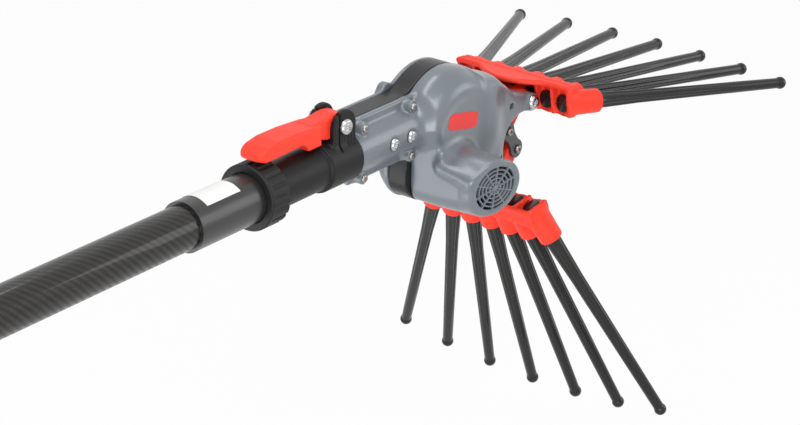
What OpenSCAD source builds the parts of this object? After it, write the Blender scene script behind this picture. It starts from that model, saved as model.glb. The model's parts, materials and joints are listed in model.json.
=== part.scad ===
// Electric olive harvester: a head with two clapping combs on the top section of a pole.
// Millimetres. The origin is the centre of the pole's lower end, +X runs up the pole to
// the head and +Z is up. The motor stands out of the casing towards -Y.

/* [Pole] */
// Outer diameter of the carbon tube
pole_d = 37; // [34:0.5:40]
// Wall of the carbon tube
pole_wall = 1.6; // [1.2:0.1:2]
// Length of the carbon tube
pole_len = 380; // [350:5:600]
// Radial gap between the carbon tube and the inner tube
inner_gap = 0.4; // [0.3:0.05:0.6]
// Wall of the inner tube
inner_wall = 1.5; // [1:0.1:2]
// Length of the inner tube
inner_len = 456; // [440:2:480]
// Length of the joint socket in the lower end
joint_len = 60; // [40:1:64]
// Wall of the joint socket
joint_wall = 2.9; // [2:0.1:4]
// Wall of the black end sleeve
sleeve_wall = 2.7; // [2:0.1:3.5]
// Length of the end sleeve
sleeve_len = 81.6; // [70:0.2:95]
// Length of the label
label_len = 39; // [25:1:50]
// Thickness of the label
label_t = 0.3; // [0.2:0.05:0.5]
// Angle that the label covers round the sleeve
label_arc = 74; // [50:2:120]

/* [Ring nut] */
// Thickness of the ring nut over the sleeve
ring_t = 6.8; // [5.5:0.1:8]
// Length of the ring nut
ring_len = 23; // [18:0.5:26]
// Length of the ring nut that covers the sleeve
ring_lap = 7; // [5:0.5:9]
// Number of grip ribs
ring_ribs = 24; // [16:1:30]
// Depth of the grooves between the ribs
rib_depth = 1.2; // [0.8:0.1:1.6]

/* [Clamp] */
// Length of the clamp body
clamp_len = 118; // [112:1:130]
// Wall of the clamp body
clamp_wall = 3.3; // [2.6:0.1:4]
// Extra thickness of the split collar
collar_t = 2.5; // [1.5:0.1:3]
// Length of the split collar
collar_len = 41; // [34:0.5:46]
// Radius of the ears
ear_r = 14.5; // [12.5:0.5:16]
// Thickness of an ear
ear_t = 5; // [4:0.5:6]
// Height of the lever's axis above the collar
lever_rise = 10.1; // [9.5:0.1:11]
// Distance of the lever's axis behind the collar's front face
lever_back = 16.5; // [15:0.5:18]
// Length of the lever from its axis to the tip
lever_len = 105; // [90:1:110]
// Width of the lever between the ears
lever_w = 17.4; // [14:0.2:20]
// Width of the lever's paddle
paddle_w = 26; // [22:0.5:30]
// Radius of the lever's cam
cam_r = 11; // [10:0.1:11.5]
// Throw of the cam
cam_throw = 1; // [0.6:0.1:1.4]
// Diameter of the lever's bolt
lever_bolt_d = 8; // [6:0.5:9]
// Length of the brake pad along the pole
pad_len = 22; // [18:0.5:24]

/* [Casing] */
// Distance from the collar's front face to the head's datum
head_back = 22; // [20:0.5:24]
// Gap between the collar and the neck
neck_gap = 0.5; // [0.3:0.1:1]
// Radius of the neck
neck_r = 20; // [19:0.25:22]
// Height of the neck's flange above the pole's axis
flange_h = 28; // [27:0.25:32]
// Thickness of the neck's flange on the front shell
flange_t = 5; // [3:0.5:8]
// Radius of the gear dome
dome_r = 60; // [57:0.5:62]
// Depth of the front dome from the parting plane
dome_depth = 30; // [27:0.5:33]
// Edge radius of the front dome
dome_round = 22; // [14:0.5:24]
// Thickness of the black middle frame
frame_t = 19; // [18:0.25:21]
// Radius of the rear dome
rear_r = 52; // [48:0.5:56]
// Depth of the rear dome behind the frame
rear_depth = 15; // [13:0.5:18]
// Edge radius of the rear dome
rear_round = 10; // [6:0.5:11]
// Wall of the shells
shell_wall = 2.8; // [2:0.1:3.4]
// Distance of the motor's axis ahead of the datum
motor_ahead = 96; // [93:0.5:99]
// Distance of the motor's axis below the pole's axis
motor_drop = 49; // [46:0.5:52]
// Radius of the motor housing
housing_r = 29.5; // [28:0.25:31]
// Depth of the motor housing on the motor's axis
housing_depth = 74; // [73:0.5:80]
// Angle of the housing's end face towards the pole
housing_lean = 16; // [0:1:18]
// Angle of the housing's end face downwards
housing_droop = 7; // [0:1:10]
// Radius of the air grille
grille_r = 21.4; // [16:0.2:22.4]
// Number of slot rings in the grille
grille_rings = 5; // [3:1:5]
// Number of spokes in the grille
grille_spokes = 10; // [6:1:12]
// Distance of the rear neck screws behind the datum
screw_back = 11; // [9:0.5:12]
// Distance of the front neck screws ahead of the datum
screw_ahead = 55.6; // [54:0.2:58]
// Height of the neck screws above and below the pole's axis
screw_h = 22.3; // [21.6:0.1:22.6]
// Diameter of the neck screws
screw_d = 4; // [3:0.5:5]
// Distance of the first neck bolt ahead of the datum
bolt_ahead = 22; // [18:0.5:24]
// Distance between the two neck bolts
bolt_pitch = 24; // [20:0.5:26]
// Diameter of the neck bolts
neck_bolt_d = 6; // [5:0.5:7]
// Length of the blank badge
badge_len = 27; // [20:0.5:30]
// Height of the blank badge
badge_h = 13; // [8:0.5:16]
// Thickness of the blank badge
badge_t = 0.6; // [0.4:0.1:1]
// Diameter of the hanger hole in the upper lug
hanger_d = 6.4; // [5:0.2:8]
// Depth of the hanger hole
hanger_depth = 12; // [8:0.5:16]

/* [Pivots and link] */
// Distance of the upper comb's pivot ahead of the datum
upper_ahead = 214; // [211:0.5:217]
// Distance of the upper comb's pivot below the pole's axis
upper_drop = 15; // [13:0.5:17]
// Distance of the lower comb's pivot ahead of the datum
lower_ahead = 186.5; // [184:0.5:189]
// Distance of the lower comb's pivot below the pole's axis
lower_drop = 85; // [83:0.5:88]
// Half of the link's length along X
link_half_x = 7.2; // [6.5:0.1:8]
// Half of the link's length along Z
link_half_z = 10.5; // [10:0.1:11.5]
// Thickness of a link plate
link_t = 2.7; // [2:0.1:3]
// Diameter of the link's pins
link_pin_d = 5.6; // [4.6:0.2:7]
// Radius of the jaw between the lugs
jaw_r = 29.5; // [27.5:0.25:31]
// Radius of the lugs round the pivots
lug_r = 8.5; // [8:0.1:9.5]
// Thickness of a lug
lug_t = 9.7; // [7:0.1:11]
// Radius of the comb hubs
hub_r = 9.5; // [8.5:0.1:10.5]
// Half of the hub's width
hub_half = 19.9; // [19:0.1:21]
// Diameter of the pivot bolts
pivot_d = 8; // [7:0.5:9]
// Wall of the hub's bushes
bush_wall = 2; // [1.2:0.1:2.4]
// Radius of the arms' ends
arm_r = 8.5; // [7.5:0.1:9]
// Thickness of an arm
arm_t = 10; // [8:0.5:11]

/* [Drive] */
// Gear module
gear_module = 1; // [0.98:0.01:1.02]
// Teeth on the pinion
pinion_teeth = 12; // [11:1:13]
// Teeth on the crank gear
gear_teeth = 55; // [54:1:56]
// Angle of the line from the motor's axis to the crank
gear_lean = 72; // [70:0.5:74]
// Face width of the gears
gear_w = 6; // [5:0.25:7]
// Half of the upper comb's stroke in degrees
stroke = 8; // [5:0.5:8.5]
// Crank angle that goes with half a stroke
crank_swing = 50; // [45:1:55]
// Diameter of the crank pin
crank_pin_d = 8; // [6:0.5:9]
// Wall of the roller on the crank pin
roller_wall = 3; // [2:0.25:4]
// Thickness of the drive rod
rod_t = 8; // [6:0.25:9]
// Wall of the drive rod's guide bush
guide_wall = 2.5; // [2:0.1:3]
// Length of the drive rod's guide bush
guide_len = 20; // [14:0.5:22]
// Radius of the motor can
can_r = 20.5; // [19:0.25:21.5]
// Length of the motor can
can_len = 48; // [44:0.5:49]
// Radius of the motor shaft
shaft_r = 3; // [2.5:0.1:3.5]
// Radius of the crank shaft
crank_shaft_r = 6; // [5:0.25:7]

/* [Combs] */
// Distance between the ends of neighbouring sockets
tine_pitch = 22; // [21:0.25:24]
// Angle between neighbouring tines
tine_fan = 7.8; // [6:0.2:8.4]
// Length of a tine from the socket to the centre of its tip
tine_len = 209.5; // [150:0.5:240]
// Diameter of a tine at the socket
tine_root_d = 13.3; // [11:0.1:14]
// Diameter of a tine's shoulder on the socket's end
flare_d = 15.4; // [14:0.1:17]
// Diameter of a tine near its tip
tine_tip_d = 9.8; // [8:0.1:10.5]
// Diameter of the round tip
tip_d = 11.7; // [11:0.1:13]
// Outer diameter of a socket
socket_d = 24.4; // [22:0.2:25]
// Distance from the pivot to the sockets' ends along the comb
comb_reach = 54; // [50:0.5:60]
// Offset of the upper tines outwards from the pivot
upper_rise = 1; // [0:0.25:3]
// Offset of the lower tines outwards from the pivot
lower_rise = 5; // [4:0.25:8]
// How far the outer sockets sit back
comb_setback = 3.5; // [0:0.25:6]
// Slope of the upper comb below the pole's axis
upper_slope = 4.9; // [4:0.1:10]
// Slope of the lower comb below the pole's axis
lower_slope = 67; // [64:0.5:70]
// Distance of the bar's rear edge ahead of the pivot
bar_back = 6.5; // [5:0.5:8]
// Distance of the bar's front face ahead of the pivot
bar_front = 24; // [22:0.5:28]
// Height of the bar
bar_h = 27; // [25:0.2:29]
// Distance of the bar's inner edge from the tines' axes
bar_low = 11.5; // [10:0.25:13]
// Half of the bar's length
bar_half = 61; // [59:0.5:66]
// How far the deck reaches back over the lugs
deck_back = 13; // [8:0.5:14]
// Wall of the bar
bar_wall = 3; // [2:0.1:4]

/* [Hidden] */
$fn = 64;

// Clearances: a running fit, a loose gap between moving pieces and the overrun of a cut
run = 0.05;
loose = 0.3;
over = 1;

// Finishes
grey = "#6b747c";
black = "#232427";
red = "#e2352b";
steel = "#b9bcc0";
bronze = "#b08a4a";

// Pole, sleeve, ring and clamp
pole_r = pole_d / 2;
pole_bore = pole_r - pole_wall;
inner_r = pole_bore - inner_gap;
joint_bore = pole_bore - joint_wall;
seat_cut = 0.2;
seat_r = pole_r - seat_cut;
sleeve_r = pole_r + sleeve_wall;
sleeve_x = pole_len - sleeve_len;
label_inset_share = 0.17;
ring_r = sleeve_r + ring_t;
ring_x = pole_len - ring_lap;
ring_lip_share = 0.14;
ring_lip = ring_len * ring_lip_share;
bead_h = 1;
clamp_bore = inner_r + run;
clamp_r = clamp_bore + clamp_wall;
collar_r = clamp_r + collar_t;
clamp_end = pole_len + clamp_len;
lever_x = clamp_end - lever_back;
lever_z = collar_r + lever_rise;
ear_in = lever_w / 2 + loose;
ear_out = ear_in + ear_t;
lever_bolt_r = lever_bolt_d / 2;
head_share = 0.8;
head_h_share = 0.45;
nut_share = 0.85;
pad_top = lever_z - cam_r - cam_throw - run;
slit_w = 1.6;
slit_back = 23;

// Head datum, parting planes and axes
neck_x = neck_gap - head_back;
tube_past = 13;
tube_end = bolt_ahead + bolt_pitch + tube_past;
tail_gap = 10;
// The head stands further out where the inner tube would reach the joint socket
head_x = max(clamp_end + head_back, joint_len + tail_gap + inner_len - tube_end);
gear_axes = (pinion_teeth + gear_teeth) * gear_module / 2;
motor_at = [motor_ahead, -motor_drop];
crank_at = motor_at + gear_axes * [cos(gear_lean), sin(gear_lean)];
upper_at = [upper_ahead, -upper_drop];
lower_at = [lower_ahead, -lower_drop];
jaw_at = (upper_at + lower_at) / 2;
link_half = [-link_half_x, link_half_z];
upper_link = jaw_at + link_half;
lower_link = jaw_at - link_half;
lug_gap = 0.4;
lug_in = hub_half + lug_gap;
lug_out = lug_in + lug_t;
pivot_r = pivot_d / 2;
bush_r = pivot_r + run + bush_wall;
pocket_gap = 1.5;
link_in = hub_half - link_t;
link_play = 0.9;
link_pin_r = link_pin_d / 2;
link_head_share = 0.4;
arm_out = link_in - loose;
arm_in = arm_out - arm_t;

// Casing details
screw_r = screw_d / 2;
boss_wall = 3.4;
boss_r = screw_r + boss_wall;
boss_depth = 13.5;
neck_bolt_r = neck_bolt_d / 2;
seat_depth = 0.6;
bolt_seat = seat_depth - neck_r;
rear_plate = 4;
rear_boss = 7;
rear_end = frame_t + rear_depth - shell_wall;
badge_lean = 8.4;
badge_rise = 13;
hanger_back = 31.5;
hanger_rise = 5;
hanger_at = upper_at + [-hanger_back, hanger_rise];
grille_rib_share = 0.36;
grille_pitch = grille_r / (grille_rings + 1 / 2);
grille_rib = grille_pitch * grille_rib_share;
corner_in = 1.5;
corner_x = motor_at[0] - housing_r + corner_in;

// Drive: the rod slides along rod_dir, from the crank to the upper link pin
rod_span = norm(upper_link - crank_at);
rod_dir = (upper_link - crank_at) / rod_span;
rod_turn = atan2(rod_dir[1], rod_dir[0]);
arm_vec = upper_link - upper_at;
rod_gain = abs(arm_vec[0] * rod_dir[1] - arm_vec[1] * rod_dir[0]);
stroke_rad = stroke * PI / 180;
rod_travel = rod_gain * stroke_rad;
pin_side = norm(arm_vec) * stroke_rad;
crank_r = rod_travel / sin(crank_swing);
crank_pin_r = crank_pin_d / 2;
crank_pin_at = crank_at + crank_r * [-rod_dir[1], rod_dir[0]];
crank_web = 1.4;
pin_past = 1.5;
roller_r = crank_pin_r + run + roller_wall;
slot_gap = 0.35;
rod_half = rod_t / 2;
yoke_wall = 5;
eye_wall = 4;
guide_in_share = 0.85;
guide_start = dome_r - guide_len * guide_in_share;
guide_r = rod_half + run + guide_wall;
gear_gap = 2;
gear_y = rod_half + gear_gap;
gear_end = gear_y + gear_w;
bearing_w = 5;
bearing_wall = 4.5;
bearing_inset = 2;
crank_seat_r = crank_shaft_r + bearing_wall;
crank_boss_r = crank_seat_r + shell_wall;
crank_boss_y = gear_end + gear_gap / 2;

// Motor
can_gap = 6;
can_y = -rod_half - can_gap;
can_end = can_y - can_len;
can_wall = 1.5;
can_cap = 4;
seat_len_share = 0.25;
armature_share = 0.7;
armature_r = can_r * armature_share;
magnet_gap = 4;
air_gap = 0.8;
fan_t = 4;
fan_gap = 1.4;
fan_blades = 9;
blade_t = 1;
fan_share = 0.82;
shaft_past = 2;
shaft_front = gear_end + shaft_past;
shaft_back = can_end - fan_gap - fan_t;

// Gear teeth: widths in shares of the pitch, heights in shares of the module
tooth_top_share = 0.1;
tooth_foot_share = 0.32;
addendum_share = 0.8;
dedendum_share = 1.15;

// Column from the dome to the lugs, in shares of the radii that each point follows
column_shares = [[0.40, 0.83], [0.66, 0.72], [0.894, 0.62], [1.127, 0.486], [1.327, 0.319]];
upper_lug_shares = [[-0.18, 0.98], [-0.3, -0.95]];
lower_lug_shares = [[0.95, 0.3], [-0.75, -0.66]];
housing_shares = [[1.49, -0.5], [0.3, -0.9]];

// Root of the lower lug's arm: a point off the jaw, turned back from the pivot
lug_root_turn = 50.6;
lug_root_t = 9.6;
lug_root_dir = atan2(lower_at[1] - jaw_at[1], lower_at[0] - jaw_at[0]) - lug_root_turn;
lug_root_at = jaw_at + (jaw_r + lug_root_t) * [cos(lug_root_dir), sin(lug_root_dir)];

// Lever outlines in shares of its length and of the cam's radius
root_shares = [[0.03, 0.95], [-0.06, 1.08], [-0.44, 0.9], [-0.47, 0.3], [-0.36, -0.3],
    [-0.28, -0.82], [-0.14, -0.8], [0, -0.75]];
paddle_shares = [[-0.44, 0.9], [-0.62, 1.02], [-0.8, 0.95], [-0.94, 0.62], [-1, 0.3],
    [-0.97, 0.05], [-0.9, 0], [-0.66, 0.06], [-0.44, 0.24]];

// Tine and bar
tine_count = 7;
tine_mid = (tine_count - 1) / 2;
tine_root_r = tine_root_d / 2;
flare_r = flare_d / 2;
tine_tip_r = tine_tip_d / 2;
tip_r = tip_d / 2;
socket_r = socket_d / 2;
bar_top = bar_h - bar_low;
front_wall = 6;
socket_run = comb_reach - bar_front + front_wall;
plug_len = 3;
plug_lip = 1.4;
plug_r = tine_root_r + plug_lip;
root_share = 0.22;
neck_share = 0.93;
deck_steps = 24;
draft_share = 0.8;
deck_span_share = 0.5;
deck_bow = 1.2;
rib_slant_share = 0.5;

// Shapes that repeat

// Extrudes an XZ outline from y0 to y1
module slab(y0, y1) {
    translate([0, y1, 0]) rotate([90, 0, 0]) linear_extrude(y1 - y0) children();
}

// A round bar along Y at a point of the XZ plane
module y_rod(at, r, y0, y1) {
    translate([at[0], y1, at[1]]) rotate([90, 0, 0]) cylinder(r = r, h = y1 - y0);
}

// A round bar along X on the pole's axis
module x_rod(r, x0, x1) {
    translate([x0, 0, 0]) rotate([0, 90, 0]) cylinder(r = r, h = x1 - x0);
}

// A round bar along the drive rod's line, from one distance to another from the crank
module rod_line(r, s0, s1) {
    in_rod() rotate([0, 90, 0]) translate([0, 0, s0]) cylinder(r = r, h = s1 - s0);
}

// Turns about the Y axis at a point: profile x is the radius and y the depth towards -Y
module y_turn(at, y) {
    translate([at[0], y, at[1]]) rotate([90, 0, 0]) rotate_extrude() children();
}

module box(low, high) {
    translate(low) cube(high - low);
}

module in_head() {
    translate([head_x, 0, 0]) children();
}

// Frame of the drive rod: its X runs from the crank to the upper link pin
module in_rod() {
    translate([crank_at[0], 0, crank_at[1]]) rotate([0, -rod_turn, 0]) children();
}

module disc2d(at, r) {
    translate(at) circle(r);
}

// A bar with round ends between two points
module strap2d(p, q, r) {
    disc2d(p, r);
    disc2d(q, r);
    translate(p) rotate(atan2(q[1] - p[1], q[0] - p[0])) translate([0, -r]) square([norm(q - p), 2 * r]);
}

// A dome's half profile with a round edge
module dome2d(r, depth, edge) {
    square([r, depth - edge]);
    square([r - edge, depth]);
    translate([r - edge, depth - edge]) intersection() {
        circle(edge);
        square(edge);
    }
}

module button_bolt(at, r, y_head, y_end) {
    y_rod(at, r, y_head, y_end);
    y_turn(at, y_head) dome2d(r + r * head_share, 2 * r * head_h_share, r * head_h_share);
}

module hex_nut(at, r, y0, y1) {
    difference() {
        translate([at[0], y1, at[1]]) rotate([90, 0, 0])
            cylinder(r = 2 * r * nut_share, h = y1 - y0, $fn = 6);
        y_rod(at, r, y0 - over, y1 + over);
    }
}

module y_ring(at, r_in, r_out, y0, y1) {
    difference() {
        y_rod(at, r_out, y0, y1);
        y_rod(at, r_in, y0 - over, y1 + over);
    }
}

module x_ring(r_in, r_out, x0, x1) {
    difference() {
        x_rod(r_out, x0, x1);
        x_rod(r_in, x0 - over, x1 + over);
    }
}

// Pole section

// The upper end is ground down a little where the sleeve sits
module carbon_tube() color(black) {
    difference() {
        x_ring(pole_bore, pole_r, 0, pole_len);
        x_ring(seat_r, pole_r + over, sleeve_x, pole_len + over);
    }
}

module joint_socket() color(steel) {
    x_ring(joint_bore, pole_bore, 0, joint_len);
}

module end_sleeve() color(black) {
    x_ring(seat_r, sleeve_r, sleeve_x, pole_len);
}

// A curved plate on top of the sleeve
module sleeve_label() color("white") {
    x0 = sleeve_x + sleeve_len * label_inset_share;
    translate([x0, 0, 0]) rotate([-label_arc / 2, 0, 0]) rotate([0, 90, 0]) rotate([0, 0, 180])
        rotate_extrude(angle = label_arc) translate([sleeve_r + run, 0]) square([label_t, label_len]);
}

// The land runs on the clamp body between the sleeve's end and the bead
module ring_nut() color(black) {
    difference() {
        x_rod(ring_r, ring_x, ring_x + ring_len);
        x_rod(sleeve_r + loose * 2, ring_x - over, pole_len + loose);
        x_rod(clamp_r + run, ring_x, ring_x + ring_len + over);
        x_rod(clamp_r + bead_h + loose, ring_x + ring_len - ring_lip, ring_x + ring_len + over);
        for (i = [0 : ring_ribs - 1])
            rotate([360 * i / ring_ribs, 0, 0]) translate([ring_x - over, 0, ring_r + rib_depth])
                rotate([0, 90, 0]) cylinder(r = 2 * rib_depth, h = ring_len + 2 * over);
    }
}

module clamp_body() color(black) {
    difference() {
        union() {
            x_rod(clamp_r, pole_len, clamp_end);
            x_rod(clamp_r + bead_h, ring_x + ring_len - ring_lip + loose, ring_x + ring_len - loose);
            x_rod(collar_r, clamp_end - collar_len, clamp_end);
            for (side = [0, 1]) mirror([0, side, 0]) ear();
        }
        x_rod(clamp_bore, pole_len - over, clamp_end + over);
        box([lever_x - pad_len / 2 - loose, -ear_in, 0], [lever_x + cam_r + over, ear_in, lever_z]);
        box([clamp_end - slit_back - slit_w, -ear_in - slit_w, clamp_bore / 2],
            [lever_x, ear_in + slit_w, lever_z - ear_r + slit_w]);
        y_rod([lever_x, lever_z], lever_bolt_r, -ear_out - over, ear_out + over);
    }
}

// An ear stands on the collar beside the lever
module ear() {
    y_rod([lever_x, lever_z], ear_r, ear_in, ear_out);
    box([lever_x - ear_r, ear_in, clamp_bore], [lever_x + ear_r, ear_out, lever_z]);
}

// The pad lies on the inner tube under the cam
module clamp_pad() color(black) {
    difference() {
        box([lever_x - pad_len / 2, -lever_w / 2, 0], [lever_x + cam_r, lever_w / 2, pad_top]);
        x_rod(inner_r + run, lever_x - pad_len, lever_x + pad_len);
    }
}

function lever_points(shares) = [for (s = shares) [lever_x + s[0] * lever_len, lever_z + s[1] * cam_r]];

module cam_lever() color(red) {
    difference() {
        union() {
            y_rod([lever_x, lever_z - cam_throw], cam_r, -lever_w / 2, lever_w / 2);
            slab(-lever_w / 2, lever_w / 2) polygon(lever_points(root_shares));
            slab(-paddle_w / 2, paddle_w / 2) polygon(lever_points(paddle_shares));
        }
        y_rod([lever_x, lever_z], lever_bolt_r + run, -paddle_w, paddle_w);
    }
}

module lever_bolt() color(steel) {
    button_bolt([lever_x, lever_z], lever_bolt_r, -ear_out, ear_out + lever_bolt_d * nut_share);
}

module lever_nut() color(steel) {
    hex_nut([lever_x, lever_z], lever_bolt_r, ear_out, ear_out + lever_bolt_d * nut_share);
}

// Head: tube and casing

module inner_tube() color(black) in_head() {
    difference() {
        x_ring(inner_r - inner_wall, inner_r, tube_end - inner_len, tube_end);
        neck_bolt_holes(neck_bolt_r + run);
    }
}

module lead_grommet() color(black) in_head() {
    r = inner_r - inner_wall;
    difference() {
        x_rod(r, tube_end - r / 2, tube_end);
        x_rod(r / 3, tube_end - r, tube_end + over);
    }
}

function neck_bolt_at() = [for (i = [0, 1]) [bolt_ahead + i * bolt_pitch, 0]];

function screw_at() = [for (x = [-screw_back, screw_ahead], z = [-screw_h, screw_h]) [x, z]];

module neck_bolt_holes(r) {
    for (at = neck_bolt_at()) y_rod(at, r, -neck_r - over, frame_t + neck_r);
}

module screw_holes(y_end) {
    for (at = screw_at()) y_rod(at, screw_r + run, -neck_r, y_end);
}

module pivot_holes() {
    for (at = [upper_at, lower_at]) y_rod(at, pivot_r, -lug_out - over, lug_out + over);
}

function around(at, r, shares) = [for (s = shares) at + r * s];

// Column with both lugs, up to the jaw
module column2d() {
    difference() {
        union() {
            polygon(concat(
                around(crank_at, dome_r, column_shares),
                around(upper_at, lug_r, upper_lug_shares),
                around(lower_at, lug_r, lower_lug_shares),
                [lug_root_at],
                around(motor_at, housing_r, housing_shares),
                [crank_at]
            ));
            disc2d(upper_at, lug_r);
            disc2d(lower_at, lug_r);
        }
        disc2d(jaw_at, jaw_r);
    }
}

module neck2d() {
    translate([neck_x, -flange_h]) square([crank_at[0] - neck_x, 2 * flange_h]);
}

// The dome's corner behind the motor housing and below the neck, which is cut away
module corner2d(grow) {
    low = [neck_x - dome_r, -3 * dome_r];
    translate(low) square([corner_x + grow, grow - flange_h] - low);
}

// A flat round of the gear dome without that corner
module round2d(r, grow) {
    difference() {
        disc2d(crank_at, r);
        corner2d(grow);
    }
}

module casing2d() {
    round2d(dome_r, 0);
    disc2d(motor_at, housing_r);
    column2d();
    neck2d();
}

// Room for the comb hubs, arms and link between the lugs
module jaw_room() {
    slab(-lug_in, lug_in) {
        disc2d(jaw_at, jaw_r + pocket_gap);
        strap2d(upper_at, upper_link, hub_r + pocket_gap);
        strap2d(lower_at, lower_link, hub_r + pocket_gap);
    }
}

// Boss round the drive rod's guide, on one side of the parting plane
module guide_boss(y0, y1) {
    intersection() {
        rod_line(guide_r + shell_wall, guide_start, guide_start + guide_len);
        box([0, y0, -2 * dome_r], [upper_ahead, y1, dome_r]);
    }
}

module rod_room() {
    rod_line(guide_r, guide_start - over, guide_start + guide_len + over);
    rod_line(rod_half + loose, guide_start, rod_span);
}

module tube_room() {
    x_rod(inner_r + run, neck_x - over, tube_end + loose);
}

// Frame of the motor housing's slanting end: its outer side is -Y
module in_face(depth) {
    translate([motor_at[0], -depth, motor_at[1]]) rotate([housing_droop, 0, -housing_lean]) children();
}

// A round housing along the motor's axis, cut off by the slanting end
module housing(r, depth, y_top) {
    difference() {
        y_rod(motor_at, r, -2 * depth, y_top);
        in_face(depth) box([-2 * r, -2 * depth, -2 * r], [2 * r, 0, 2 * r]);
    }
}

// Rings of slots with spokes left between them
module grille_slots() {
    in_face(housing_depth) difference() {
        for (i = [1 : grille_rings])
            y_ring([0, 0], grille_pitch * (i - 1 / 2) + grille_rib / 2,
                grille_pitch * (i + 1 / 2) - grille_rib / 2, -over, 2 * shell_wall);
        for (k = [0 : grille_spokes - 1]) rotate([0, 360 * k / grille_spokes, 0])
            box([0, -2 * over, -grille_rib / 2], [grille_r + over, 3 * shell_wall, grille_rib / 2]);
    }
}

module front_outer() {
    difference() {
        y_turn(crank_at, 0) dome2d(dome_r, dome_depth, dome_round);
        slab(-dome_depth - over, over) corner2d(0);
    }
    housing(housing_r, housing_depth, 0);
    slab(-lug_out, 0) column2d();
    slab(-flange_t, 0) neck2d();
    intersection() {
        x_rod(neck_r, neck_x, crank_at[0]);
        box([neck_x, -neck_r, -neck_r], [crank_at[0], 0, neck_r]);
    }
    for (at = screw_at()) y_rod(at, boss_r, -boss_depth, 0);
}

module front_room() {
    difference() {
        y_turn(crank_at, over)
            dome2d(dome_r - shell_wall, dome_depth - shell_wall + over, dome_round - shell_wall);
        slab(-dome_depth, 2 * over) corner2d(shell_wall);
        for (at = screw_at()) y_rod(at, boss_r + shell_wall, -dome_depth, 2 * over);
    }
    housing(housing_r - shell_wall, housing_depth - shell_wall, over);
}

// Seat of the motor can inside the housing
module motor_seat() {
    y_ring(motor_at, can_r, housing_r - shell_wall / 2, can_y - can_len * seat_len_share, can_y);
}

module front_shell() color(grey) in_head() {
    difference() {
        union() {
            difference() {
                front_outer();
                front_room();
            }
            motor_seat();
            guide_boss(-dome_depth + shell_wall, 0);
        }
        tube_room();
        jaw_room();
        rod_room();
        screw_holes(over);
        for (at = screw_at()) y_rod(at, boss_r, -dome_depth - over, -boss_depth);
        neck_bolt_holes(neck_bolt_r + run);
        for (at = neck_bolt_at())
            y_rod(at, neck_bolt_r * (1 + head_share) + run, -neck_r - over, bolt_seat);
        pivot_holes();
        y_rod(hanger_at, hanger_d / 2, -lug_out - over, hanger_depth - lug_out);
        grille_slots();
    }
}

module middle_frame() color(black) in_head() {
    difference() {
        union() {
            difference() {
                slab(0, frame_t) casing2d();
                slab(-over, frame_t + over) {
                    round2d(dome_r - shell_wall, shell_wall);
                    disc2d(motor_at, housing_r - shell_wall);
                }
            }
            guide_boss(0, frame_t);
        }
        tube_room();
        jaw_room();
        rod_room();
        screw_holes(frame_t + over);
        neck_bolt_holes(neck_bolt_r + run);
    }
}

module rear_shell() color(grey) in_head() {
    difference() {
        union() {
            difference() {
                rear_outer();
                slab(frame_t - over, rear_end) round2d(rear_r - rear_round, shell_wall);
                y_rod(motor_at, housing_r - shell_wall, frame_t - over, lug_out - shell_wall);
            }
            y_rod(crank_at, crank_boss_r, crank_boss_y, rear_end + over);
        }
        jaw_room();
        screw_holes(frame_t + rear_plate + over);
        neck_bolt_holes(neck_bolt_r + run);
        pivot_holes();
        y_rod(crank_at, crank_seat_r, crank_boss_y - over, rear_end);
    }
}

module rear_outer() {
    difference() {
        mirror([0, 1, 0]) y_turn(crank_at, -frame_t) dome2d(rear_r, rear_depth, rear_round);
        slab(frame_t - over, frame_t + rear_depth + over) corner2d(0);
    }
    slab(frame_t, lug_out) column2d();
    y_rod(motor_at, housing_r, frame_t, lug_out);
    slab(frame_t, frame_t + rear_plate) neck2d();
    for (at = screw_at()) y_rod(at, boss_r, frame_t, frame_t + rear_boss);
}

module shell_screws() color(steel) in_head() {
    for (at = screw_at()) button_bolt(at, screw_r, -boss_depth, frame_t + rear_plate);
}

module neck_bolts() color(steel) in_head() {
    for (at = neck_bolt_at())
        button_bolt(at, neck_bolt_r, bolt_seat, frame_t + rear_plate + neck_bolt_d * nut_share);
}

module neck_nuts() color(steel) in_head() {
    y0 = frame_t + rear_plate;
    for (at = neck_bolt_at()) hex_nut(at, neck_bolt_r, y0, y0 + neck_bolt_d * nut_share);
}

module blank_badge() color(red) in_head() {
    translate([crank_at[0], 0, crank_at[1] + badge_rise]) rotate([0, badge_lean, 0])
        slab(-dome_depth - badge_t, -dome_depth)
            strap2d([-(badge_len - badge_h) / 2, 0], [(badge_len - badge_h) / 2, 0], badge_h / 2);
}

// Motor

module motor_can() color(steel) in_head() {
    difference() {
        y_rod(motor_at, can_r, can_end, can_y);
        y_rod(motor_at, can_r - can_wall, can_end + can_cap, can_y - can_cap);
        y_rod(motor_at, shaft_r + bearing_wall, can_end - over, can_y + over);
    }
}

// Two curved magnets against the can's wall
module motor_magnets() color(black) in_head() {
    difference() {
        y_ring(motor_at, armature_r + air_gap, can_r - can_wall, can_end + 2 * can_cap, can_y - 2 * can_cap);
        translate([motor_at[0], 0, motor_at[1]])
            box([-magnet_gap, can_end, -can_r], [magnet_gap, can_y, can_r]);
    }
}

module motor_bearings() color(steel) in_head() {
    for (y = [can_end, can_y - can_cap])
        y_ring(motor_at, shaft_r + run, shaft_r + bearing_wall, y, y + can_cap);
}

module motor_shaft() color(steel) in_head() {
    y_rod(motor_at, shaft_r, shaft_back, shaft_front);
}

module armature() color(bronze) in_head() {
    y_ring(motor_at, shaft_r, armature_r, can_end + 2 * can_cap, can_y - 2 * can_cap);
}

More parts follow.
